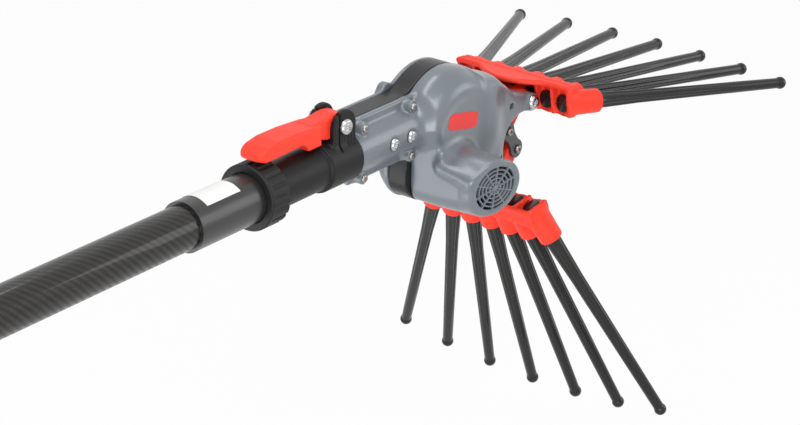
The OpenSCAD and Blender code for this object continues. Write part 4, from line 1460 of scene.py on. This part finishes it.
@dataclass
class Comb:
    """One comb: a moulded bar with sockets and seven tines, in the frame of its pivot."""

    side: Side
    pivot: Point2
    pin: Point2
    slope: float
    rise: float
    count: int = 7
    pitch: float = 22.0
    fan: float = 7.8
    reach: float = 54.0
    setback: float = 3.5
    tine_len: float = 209.5
    root_r: float = 6.65
    flare_r: float = 7.7
    neck_r: float = 6.18
    neck_share: float = 0.22
    thin_r: float = 4.9
    tip_r: float = 5.85
    waist_share: float = 0.9
    ball_cosine: float = -0.55
    flutes: int = 8
    flute_deep: float = 1.15
    flute_power: float = 1.5
    flute_start: float = 1.0
    flute_run: float = 6.0
    flute_share: float = 0.72
    fade_power: float = 0.6
    segments: int = 64
    plug_r: float = 8.05
    plug_len: float = 3.0
    plug_edge: float = 0.8
    plug_play: float = 0.1
    plug_room: float = 4.4
    bore_past: float = 6.0
    socket_r: float = 10.9
    socket_draft: float = -0.09
    socket_run: float = 36.0
    socket_edge: float = 1.1
    socket_fillet: float = 2.6
    back: float = 6.5
    front: float = 24.0
    front_wall: float = 6.0
    front_edge: float = 1.4
    front_fillet: float = 3.0
    top: float = 17.8
    inner: float = 11.5
    half: float = 61.0
    deck_back: float = 13.0
    deck_span: float = 0.6
    deck_bow: float = 1.2
    deck_edge: float = 1.2
    rim_in: float = 2.0
    rim_down: float = 0.6
    rim_r: float = 2.2
    rim_end: float = 8.0
    rim_fillet: float = 1.5
    wall: float = 3.0
    wall_down: float = 1.0
    wall_edge: float = 0.8
    wall_fillet: float = 1.6
    hub_r: float = 9.5
    hub_half: float = 19.9
    hub_edge: float = 0.8
    hub_fillet: float = 2.0
    bush_r: float = 6.05
    arm_r: float = 8.5
    arm_edge: float = 0.9
    arm_span: Point2 = (6.9, 16.9)
    pin_r: float = 2.8
    past_end: float = 16.0
    cell: float = 0.95

    def __post_init__(self) -> None:
        """Works out the comb's frame, the pin's place in it and the tines' frames."""
        s = math.radians(self.slope)
        flip = 1 if self.side is Side.UPPER else -1
        along, out = (math.cos(s), -math.sin(s)), (flip * math.sin(s), flip * math.cos(s))
        self.place = Matrix((
            (along[0], 0, out[0], HEAD_X + self.pivot[0]),
            (0, 1, 0, 0),
            (along[1], 0, out[1], self.pivot[1]),
            (0, 0, 0, 1),
        ))
        d = (self.pin[0] - self.pivot[0], self.pin[1] - self.pivot[1])
        self.pin_at = (d[0] * along[0] + d[1] * along[1], d[0] * out[0] + d[1] * out[1])
        middle = (self.count - 1) / 2
        self.tines = []
        for i in range(self.count):
            k = i - middle
            ahead = self.reach - self.setback * (k / middle) ** 2
            end = Matrix.Translation((ahead, k * self.pitch, self.rise))
            self.tines.append(end @ Matrix.Rotation(math.radians(k * self.fan), 4, "Z"))

    def deck_outline(self) -> list[Point2]:
        """Outline of the deck: its rear edge swells as a power of one minus a square.

        Returns:
            The outline's corners.
        """
        points = 29
        y = np.linspace(-self.half, self.half, points)
        swell = np.maximum(0, 1 - (y / (self.half * self.deck_span)) ** 2) ** self.deck_bow
        x = self.back - (self.deck_back + self.back) * swell
        return list(zip(x.tolist(), y.tolist())) + [(self.front, self.half), (self.front, -self.half)]

    def deck(self, x: Array, y: Array, z: Array) -> Array:
        """Deck with a round rear rim, and the front wall below it.

        Args:
            x: Places ahead of the pivot.
            y: Places across.
            z: Places out from the pivot.

        Returns:
            Distances to both.
        """
        h = z - self.rise
        flat = outline(x, y, self.deck_outline())
        shape = slab(flat, h, (self.top - self.wall, self.top), self.deck_edge)
        rim = np.hypot(flat + self.rim_in, h - self.top + self.rim_down) - self.rim_r
        shape = melt(shape, np.maximum(rim, x - self.front + self.rim_end), self.rim_fillet)
        thick = self.front_wall / 2
        front = rounded(np.abs(x - self.front + thick) - thick, np.abs(y) - self.half, self.deck_edge)
        return melt(shape, slab(front, h, (-self.inner, self.top), self.front_edge), self.front_fillet)

    def walls(self, shape: Array, x: Array, y: Array, z: Array) -> Array:
        """The bar with the walls between its windows, of which the middle two run back to the hub.

        Args:
            shape: Distances to the deck and front wall.
            x: Places ahead of the pivot.
            y: Places across.
            z: Places out from the pivot.

        Returns:
            Distances to the bar so far.
        """
        front, top = self.front, self.top - self.wall_down
        slant = (self.back + front) / 2
        wall = [(self.back, top), (slant, -self.inner), (front, -self.inner), (front, top)]
        low, high = self.rise - self.inner, self.rise + top
        web = [(0.0, -self.hub_r / 2), (front, low), (front, high), (0.0, self.hub_r)]
        wall_flat, web_flat = outline(x, z - self.rise, wall), outline(x, z, web)
        for i in range(self.count + 1):
            step = i - self.count / 2
            at = step * (2 * self.half - self.wall) / self.count
            span = (at - self.wall / 2, at + self.wall / 2)
            shape = melt(shape, slab(wall_flat, y, span, self.wall_edge), self.wall_fillet)
            if abs(step) < 1:
                shape = melt(shape, slab(web_flat, y, span, self.wall_edge), self.wall_fillet)
        return shape

    def sockets(self, shape: Array, x: Array, y: Array, z: Array) -> tuple[Array, Array]:
        """The bar with its drafted sockets, and the bores and plug rooms in them.

        Args:
            shape: Distances to the bar without sockets.
            x: Places ahead of the pivot.
            y: Places across.
            z: Places out from the pivot.

        Returns:
            Distances to the bar, and to what is bored out.
        """
        run, bores = self.socket_run, np.inf
        for tine in self.tines:
            c, s, o = tine[0][0], tine[1][0], tine.translation
            along = (x - o.x) * c + (y - o.y) * s
            off = np.hypot((y - o.y) * c - (x - o.x) * s, z - o.z)
            skin = off - self.socket_r * (1 + self.socket_draft * along / run)
            socket = rounded(skin, np.abs(along + run / 2) - run / 2, self.socket_edge)
            shape = melt(shape, socket, self.socket_fillet)
            bore = np.maximum(off - self.root_r, np.abs(along + run) - run - self.bore_past)
            room = self.plug_room / 2
            plug = np.maximum(off - self.plug_r - self.plug_play, np.abs(along + run + room) - room)
            bores = np.minimum(bores, np.minimum(bore, plug))
        return shape, bores

    def bar(self, x: Array, y: Array, z: Array) -> Array:
        """Bar: deck, walls, sockets, hub and arms melted together, and bored for tines, bush and pin.

        Args:
            x: Places ahead of the pivot.
            y: Places across.
            z: Places out from the pivot.

        Returns:
            Distances to the bar.
        """
        shape = self.walls(self.deck(x, y, z), x, y, z)
        shape, bores = self.sockets(shape, x, y, z)
        hub = rod_y(x, y, z, (0.0, 0.0), self.hub_r, (-self.hub_half, self.hub_half), self.hub_edge)
        shape = melt(shape, hub, self.hub_fillet)
        arms = strip(x, z, (0.0, 0.0), self.pin_at, self.arm_r)
        shape = melt(shape, slab(arms, np.abs(y), self.arm_span, self.arm_edge), self.hub_fillet)
        pin = np.hypot(x - self.pin_at[0], z - self.pin_at[1]) - self.pin_r
        bush = np.hypot(x, z) - self.bush_r
        return np.maximum(shape, -np.minimum(np.minimum(bores, bush), pin))

    def tine(self) -> Surface:
        """A tine: a turned taper whose root is fluted and whose tip is a ball.

        The radius falls evenly from the socket to the waist. Eight flutes cut it by
        depth * ((1 - cos(8 t)) / 2) ** 1.5, and their depth fades along the tine.

        Returns:
            The tine's surface, along X from the socket's mouth.
        """
        length, run = self.tine_len, self.socket_run
        neck, waist = self.neck_share * length, length - self.tip_r * self.waist_share
        neck_rows, taper_rows, ball_rows, plug_steps = 14, 34, 14, 4
        s = np.concatenate([np.linspace(0, neck, neck_rows), np.linspace(neck, waist, taper_rows)[1:]])
        r = np.interp(s, [0, neck, waist], [self.flare_r, self.neck_r, self.thin_r])
        ball = np.linspace(math.acos(self.ball_cosine), 0.0, ball_rows)
        plug_end = -run - self.plug_len
        plug = [(plug_end, 0.0), (plug_end, self.plug_r), (-run, self.plug_r), (-run, self.root_r)]
        root = eased(plug, self.plug_edge, plug_steps)
        t = np.linspace(0, 2 * np.pi, self.segments, endpoint=False)
        fade = np.clip((s + self.flute_start) / self.flute_run, 0, 1)
        fade = fade * np.clip(1 - s / (self.flute_share * length), 0, 1) ** self.fade_power
        flute = (0.5 - 0.5 * np.cos(self.flutes * t)) ** self.flute_power
        body = r[:, None] - self.flute_deep * fade[:, None] * flute
        along = np.concatenate([root[:, 0], s, length + self.tip_r * np.cos(ball)])
        tip = self.tip_r * np.sin(ball)
        plain = [np.repeat(profile[:, None], self.segments, 1) for profile in (root[:, 1], tip)]
        return turned(along, np.concatenate([plain[0], body, plain[1]]), self.segments)

    def build(self) -> None:
        """Makes the bar and the tines."""
        name, body = self.side.value, f"{self.side.value}_comb"
        across = self.half + self.past_end
        deep = min(self.rise - self.inner, self.pin_at[1]) - self.arm_r
        rear = min(-self.deck_back, self.pin_at[0] - self.arm_r)
        margin = 1.0
        low = (rear - margin, -across, deep)
        high = (self.reach + margin, across, self.rise + self.top + 2 * margin)
        bar = level_surface(self.bar, low, high, self.cell).placed(self.place).outward()
        piece(f"{name}_bar_moulded", bar, body, [f"{name}_bar"], Look.RED.material())
        tine = self.tine()
        for i, at in enumerate(self.tines, 1):
            shape = tine.placed(self.place @ at).outward()
            piece(f"{name}_tine_fluted_{i}", shape, body, [f"{name}_tine_{i}"], Look.TINE.material())


@dataclass
class Clamp:
    """Clamp body with its ears, ring nut and cam lever on the pole."""

    pole_end: float = 380.0
    end: float = 498.0
    bore: float = 16.55
    body_r: float = 19.85
    body_edge: float = 0.8
    bead_x: Point2 = (393.2, 395.7)
    bead_h: float = 1.0
    bead_edge: float = 0.6
    collar_r: float = 22.35
    collar_len: float = 41.0
    collar_edge: float = 1.6
    collar_fillet: float = 1.5
    slit_back: float = 23.0
    slit: float = 1.6
    slit_half: float = 17.5
    slit_low: float = 8.0
    pivot: Point2 = LEVER_PIVOT
    bolt_r: float = 4.0
    ear_r: float = 14.5
    ear_span: Point2 = (9.0, 14.0)
    ear_edge: float = 1.3
    ear_fillet: float = 3.0
    groove_steps: tuple[float, ...] = (2.5, 6.5, 10.5)
    groove: Ends = ((0.0, 14.4, 27.0), (1.0, 15.4, 16.5))
    groove_r: Point2 = (1.0, 1.3)
    groove_rim: float = 0.8
    window_ahead: float = 0.4
    window_half: float = 11.7
    window_rim: float = 0.7
    lever_len: float = 105.0
    lever_half: float = 8.7
    lever_edge: float = 1.8
    paddle_half: float = 13.0
    paddle_shares: Point2 = (-0.27, -0.91)
    paddle_edge: float = 2.4
    paddle_fillet: float = 3.0
    cam_r: float = 11.0
    cam_off: float = 1.0
    cam_edge: float = 0.8
    lever_bore: float = 4.05
    ring_x: Point2 = (373.0, 396.0)
    ring_r: float = 28.0
    ring_lip: float = 24.0
    ring_edge: float = 1.8
    ring_bores: Point3 = (21.2, 19.9, 21.8)
    ring_step: float = 3.2
    ring_play: float = 0.3
    ribs: int = 18
    rib_deep: float = 1.25
    cell: float = 0.9
    lever_cell: float = 0.7

    def body(self, x: Array, y: Array, z: Array) -> Array:
        """Clamp body: tube, bead, split collar and two ears melted together.

        Args:
            x: Places along the pole.
            y: Places across it.
            z: Heights.

        Returns:
            Distances to the body.
        """
        shape = rod_x(x, y, z, self.body_r, (self.pole_end, self.end), self.body_edge)
        bead = rod_x(x, y, z, self.body_r + self.bead_h, self.bead_x, self.bead_edge)
        collar = rod_x(x, y, z, self.collar_r, (self.end - self.collar_len, self.end), self.collar_edge)
        shape = melt(np.minimum(shape, bead), collar, self.collar_fillet)
        ear = strip(x, z, (self.pivot[0], self.bore), self.pivot, self.ear_r)
        shape = melt(shape, slab(ear, np.abs(y), self.ear_span, self.ear_edge), self.ear_fillet)
        for step in self.groove_steps:
            at = x - self.pivot[0] - step
            shape = carve(shape, capsule(at, np.abs(y), z, *self.groove, self.groove_r), self.groove_rim)
        gap = np.abs(x - self.pivot[0] - self.window_ahead) - self.window_half
        window = np.maximum(np.maximum(gap, np.abs(y) - self.ear_span[0]), -z)
        slit = np.abs(x - self.end + self.slit_back + self.slit / 2) - self.slit / 2
        slit = np.maximum(np.maximum(slit, np.abs(y) - self.slit_half), self.slit_low - z)
        shape = carve(shape, np.minimum(window, slit), self.window_rim)
        shape = np.maximum(shape, -np.hypot(y, z) + self.bore)
        bolt = np.hypot(x - self.pivot[0], z - self.pivot[1]) - self.bolt_r
        ends = np.abs(x - (self.pole_end + self.end) / 2) - (self.end - self.pole_end) / 2
        return np.maximum(np.maximum(shape, -bolt), ends)

    def lever(self, x: Array, y: Array, z: Array) -> Array:
        """Cam lever: eccentric disc, narrow root, and a broad footed paddle with a tip round in plan.

        The outlines' corners are shares of the lever's length and of the cam's radius.

        Args:
            x: Places along the pole.
            y: Places across it.
            z: Heights.

        Returns:
            Distances to the lever.
        """
        x, z = x - self.pivot[0], z - self.pivot[1]
        span = (-self.lever_half, self.lever_half)
        root_shares = (
            (0.03, 0.95), (-0.06, 1.08), (-0.14, 1.0), (-0.34, 0.84),
            (-0.34, -0.3), (-0.14, -0.8), (0.0, -0.75),
        )
        thumb_shares = (
            (-0.27, 0.8), (-0.55, 0.98), (-0.78, 0.98), (-0.9, 0.78), (-1.0, 0.4), (-1.0, -0.05),
            (-0.93, -0.26), (-0.66, -0.2), (-0.5, -0.14), (-0.45, -0.4), (-0.42, -0.8), (-0.27, -0.8),
        )
        root, thumb = (
            outline(x, z, [(a * self.lever_len, b * self.cam_r) for a, b in shares])
            for shares in (root_shares, thumb_shares)
        )
        cam = rod_y(x, y, z, (0.0, -self.cam_off), self.cam_r, span, self.cam_edge)
        block = slab(root, y, span, self.lever_edge)
        start, tip = ((share * self.lever_len, 0.0) for share in self.paddle_shares)
        paddle = rounded(thumb, strip(x, y, start, tip, self.paddle_half), self.paddle_edge)
        shape = melt(np.minimum(cam, block), paddle, self.paddle_fillet)
        return np.maximum(shape, self.lever_bore - np.hypot(x, z))

    def ring_profile(self) -> tuple[Array, Array]:
        """Closed profile of the ring nut: the eased outside, then the stepped bore.

        Returns:
            Points of the outside and of the bore, as places along X and radii.
        """
        x0, x1 = self.ring_x
        wide, narrow, mouth = self.ring_bores
        left_points, rows, inset, steps = 7, 16, 2.2, 6
        corners = [(x0, self.ring_lip), (x0, self.ring_r), (x1, self.ring_r), (x1, self.ring_lip)]
        outer = eased(corners, self.ring_edge, steps)
        wall = np.stack([np.linspace(x0 + inset, x1 - inset, rows), np.full(rows, self.ring_r)], 1)
        outer = np.concatenate([outer[:left_points], wall, outer[left_points:]])
        step, seat = x1 - self.ring_step, self.pole_end + self.ring_play
        bore = [(x1, wide), (step, wide), (step, narrow), (seat, narrow), (seat, mouth), (x0, mouth)]
        return outer, np.array(bore)

    def ring(self) -> Surface:
        """Ring nut: a closed turned profile whose outer wall waves with the grip ribs.

        The outer radius falls by depth times a clipped cosine of the rib count times the
        angle. The wave fades at both rims and leaves a smooth band at the rear.

        Returns:
            The nut's surface.
        """
        steep, crest, points_on_rib = 2.4, 0.9, 12
        low_r, fade_r, band, fade_x = 25.5, 2.5, 3.0, 2.0
        outer, bore = self.ring_profile()
        profile = np.concatenate([outer, bore])
        segments = self.ribs * points_on_rib
        t = np.linspace(0, 2 * np.pi, segments, endpoint=False)
        groove = np.clip(-steep * np.cos(self.ribs * t) - crest, 0, 1)
        wave = np.clip((outer[:, 1] - low_r) / fade_r, 0, 1)
        wave = wave * np.clip((outer[:, 0] - self.ring_x[0] - band) / fade_x, 0, 1)
        share = np.concatenate([wave, np.zeros(len(bore))])
        radius = profile[:, 1:] - self.rib_deep * share[:, None] * groove
        return turned(profile[:, 0], radius, segments, True)

    def build(self) -> None:
        """Makes the clamp body, the lever, the ring nut and the lever's bolt."""
        x, z = self.pivot
        low = (self.pole_end, -self.collar_r, -self.collar_r)
        high = (self.end, self.collar_r, z + self.ear_r)
        body = level_surface(self.body, low, high, self.cell)
        piece("clamp_body_moulded", body, "pole", ["clamp_body"], Look.BLACK.material())
        margin = 1.0
        reach = self.cam_r + 2 * margin
        low = (x - self.lever_len - margin, -self.paddle_half, z - reach)
        high = (x + self.cam_r + margin, self.paddle_half, z + reach)
        lever = level_surface(self.lever, low, high, self.lever_cell)
        piece("cam_lever_moulded", lever, "lever", ["cam_lever"], Look.RED.material())
        piece("ring_nut_ribbed", self.ring(), "ring", ["ring_nut"], Look.RIBBED.material())
        seat = -self.ear_span[1]
        bolt = Screw(self.pivot, shank_r=self.bolt_r, seat=seat, end=20.8, head_r=7.2, head_h=3.6)
        piece("lever_bolt_head", bolt.surface(), "pole", ["lever_bolt"], Look.STEEL.material())


@dataclass
class Linkage:
    """Link plates and the two pins through them."""

    upper_pin: Point2 = UPPER_PIN
    lower_pin: Point2 = LOWER_PIN
    plate_span: Point2 = (17.2, 19.9)
    plate_edge: float = 0.6
    eye_r: float = 8.5
    eye_fillet: float = 3.0
    waist: float = 2.0
    pin_r: float = 2.8
    pin_fit: float = 0.05
    pin_play: float = 0.9
    pin_seat: float = 20.2
    pin_head_r: float = 3.92
    pin_head_h: float = 2.5
    cell: float = 0.6

    def __post_init__(self) -> None:
        """Works out where the head's frame lies on the pole."""
        self.place = Matrix.Translation((HEAD_X, 0, 0))

    def plates(self, x: Array, y: Array, z: Array) -> Array:
        """Two straps with round eyes, slightly waisted between them.

        Args:
            x: Places along the pole.
            y: Places across it.
            z: Heights.

        Returns:
            Distances to the straps.
        """
        flat = strip(x, z, self.upper_pin, self.lower_pin, self.eye_r - self.waist)
        holes = np.inf
        for at, play in ((self.upper_pin, self.pin_fit), (self.lower_pin, self.pin_play)):
            off = np.hypot(x - at[0], z - at[1])
            flat = melt(flat, off - self.eye_r, self.eye_fillet)
            holes = np.minimum(holes, off - self.pin_r - play)
        return np.maximum(slab(flat, np.abs(y), self.plate_span, self.plate_edge), -holes)

    def pin(self, at: Point2) -> Surface:
        """Pin with a recessed head at each end.

        Args:
            at: The pin's place in the XZ plane.

        Returns:
            Both halves of the pin.
        """
        halves = []
        for side in (-1, 1):
            seat = side * self.pin_seat
            head_r, head_h = self.pin_head_r, self.pin_head_h
            half = Screw(at, self.pin_r, seat=seat, end=0.0, head_r=head_r, head_h=head_h, side=side)
            halves.append(half.surface())
        return joined(halves).placed(self.place)

    def build(self) -> None:
        """Makes the plates and pins."""
        margin, across = 0.5, 20.0
        grow = self.eye_r + margin
        xs, zs = (sorted(pair) for pair in zip(self.upper_pin, self.lower_pin))
        low, high = (xs[0] - grow, -across, zs[0] - grow), (xs[1] + grow, across, zs[1] + grow)
        plates = level_surface(self.plates, low, high, self.cell).placed(self.place)
        piece("link_plate_pair", plates, "link", ["link_plates"], Look.LINK.material())
        dull = Look.PIN.material()
        piece("drive_pin_heads", self.pin(self.upper_pin), "upper_comb", ["drive_pin"], dull)
        piece("link_bolt_heads", self.pin(self.lower_pin), "lower_comb", ["link_bolt"], dull)


@dataclass
class KeptNodes:
    """CAD nodes whose shapes stay, with the finish that each one gets."""

    looks: dict[str, Look] = field(default_factory=lambda: {
        "carbon_tube": Look.CARBON, "inner_tube": Look.CARBON, "joint_socket": Look.ALLOY,
        "end_sleeve": Look.SLEEVE, "sleeve_label": Look.FILM, "clamp_pad": Look.RUBBER,
        "lever_nut": Look.STEEL, "lead_grommet": Look.RUBBER, "neck_nuts": Look.STEEL,
        "motor_can": Look.STEEL, "motor_magnets": Look.IRON,
        "motor_bearings": Look.STEEL, "armature": Look.COPPER, "motor_shaft": Look.STEEL,
        "cooling_fan": Look.BLACK, "pinion": Look.STEEL, "crank_gear": Look.STEEL,
        "crank_shaft": Look.STEEL, "crank_roller": Look.STEEL, "crank_bearings": Look.STEEL,
        "drive_rod": Look.STEEL, "rod_guide": Look.BRONZE, "pivot_nuts": Look.STEEL,
        "upper_bush": Look.BRONZE, "lower_bush": Look.BRONZE,
    })

    def dress(self) -> None:
        """Gives each node its material."""
        for name, look in self.looks.items():
            mesh = bpy.data.objects[name].data
            mesh.materials.clear()
            mesh.materials.append(look.material())
            LOG.info("%s: %s", name, look.name.lower())


@dataclass(frozen=True)
class Lamp:
    """One soft lamp, with its place and size in metres and its power in watts."""

    name: str
    place: Point3
    size: Point2
    power: float

    def build(self, target: Sequence[float]) -> None:
        """Puts the lamp into the scene, out of the camera's sight.

        Args:
            target: Point that it faces.
        """
        data = bpy.data.lights.new(self.name, "AREA")
        data.shape = "RECTANGLE"
        data.size, data.size_y = self.size
        data.energy = self.power
        thing = bpy.data.objects.new(self.name, data)
        thing.location = self.place
        way = Vector(target) - Vector(self.place)
        thing.rotation_euler = way.to_track_quat("-Z", "Y").to_euler()
        thing.visible_camera = False
        bpy.context.scene.collection.objects.link(thing)


@dataclass
class Studio:
    """Camera, lamps, floor and white surround. The camera's place is in millimetres, the rest in metres."""

    eye: Point3 = (-987.43, -1156.35, 765.5)
    right: Point3 = (0.6032, -0.7971, 0.0274)
    up: Point3 = (0.3026, 0.2605, 0.9168)
    lens: float = 110.08
    sensor: float = 36.0
    sight: float = 20.0
    target: Point3 = (0.6, 0.0, -0.05)
    lamps: tuple[Lamp, ...] = (
        Lamp("key_softbox", (-0.1, -1.0, 1.5), (1.1, 0.8), 16.0),
        Lamp("top_strip", (0.5, 0.3, 1.4), (1.6, 0.35), 10.0),
        Lamp("side_fill", (1.9, -1.2, 0.5), (0.9, 0.9), 6.0),
        Lamp("low_fill", (-0.45, -0.8, -0.12), (0.7, 0.5), 7.5),
        Lamp("flank_card", (0.14, 0.28, -0.295), (0.5, 0.4), 1.3),
    )
    world_light: float = 0.3
    floor_z: float = -0.42
    floor_half: float = 6.0
    floor_tones: Point2 = (0.9, 0.92)
    floor_lumps: float = 3.0
    floor_roughness: float = 0.9
    floor_glow: float = 0.95

    def camera(self) -> None:
        """Sets the camera that was fitted to the photograph's outline."""
        right = Vector(self.right).normalized()
        back = right.cross(Vector(self.up)).normalized()
        up = back.cross(right)
        data = bpy.data.cameras.new("fitted_camera")
        data.sensor_width, data.lens = self.sensor, self.lens
        data.clip_end = self.sight
        thing = bpy.data.objects.new("fitted_camera", data)
        turn = Matrix((right, up, back)).transposed().to_4x4()
        thing.matrix_world = Matrix.Translation(Vector(self.eye) * MM) @ turn
        bpy.context.scene.collection.objects.link(thing)
        bpy.context.scene.camera = thing

    def surround(self) -> None:
        """White world that lights the object softly, but is seen and mirrored as full white."""
        nodes = Nodes("white_room", Owner.WORLD)
        nodes.set(Color=WHITE, Strength=self.world_light + (1 - self.world_light) * nodes.seen())
        bpy.context.scene.world = nodes.owner

    def floor(self) -> None:
        """Pale floor below the object, which glows white where it is seen and keeps a trace of shadow."""
        half, z = self.floor_half, self.floor_z
        corners = [(-half, -half, z), (half, -half, z), (half, half, z), (-half, half, z)]
        mesh = bpy.data.meshes.new("studio_floor")
        mesh.from_pydata(corners, [], [(0, 1, 2, 3)])
        nodes = Nodes("studio_floor")
        low, high = (tone(WHITE, factor) for factor in self.floor_tones)
        shade = nodes.mix(nodes.noise(self.floor_lumps), low, high)
        nodes.set(Base_Color=shade, Roughness=self.floor_roughness)
        nodes.glow(nodes.seen() * self.floor_glow)
        mesh.materials.append(nodes.owner)
        thing = bpy.data.objects.new("studio_floor", mesh)
        bpy.context.scene.collection.objects.link(thing)

    def build(self) -> None:
        """Sets the whole studio."""
        bpy.context.scene.view_settings.view_transform = "Standard"
        self.camera()
        for lamp in self.lamps:
            lamp.build(self.target)
        self.surround()
        self.floor()


def main() -> None:
    """Builds the studio, dresses the kept nodes and makes every new piece."""
    logging.basicConfig(level=logging.INFO, format="%(message)s")
    Studio().build()
    KeptNodes().dress()
    Casing().build()
    Comb(Side.UPPER, UPPER, UPPER_PIN, slope=4.9, rise=1.0).build()
    Comb(Side.LOWER, LOWER, LOWER_PIN, slope=67.0, rise=5.0).build()
    Clamp().build()
    Linkage().build()


if __name__ == "__main__":
    main()
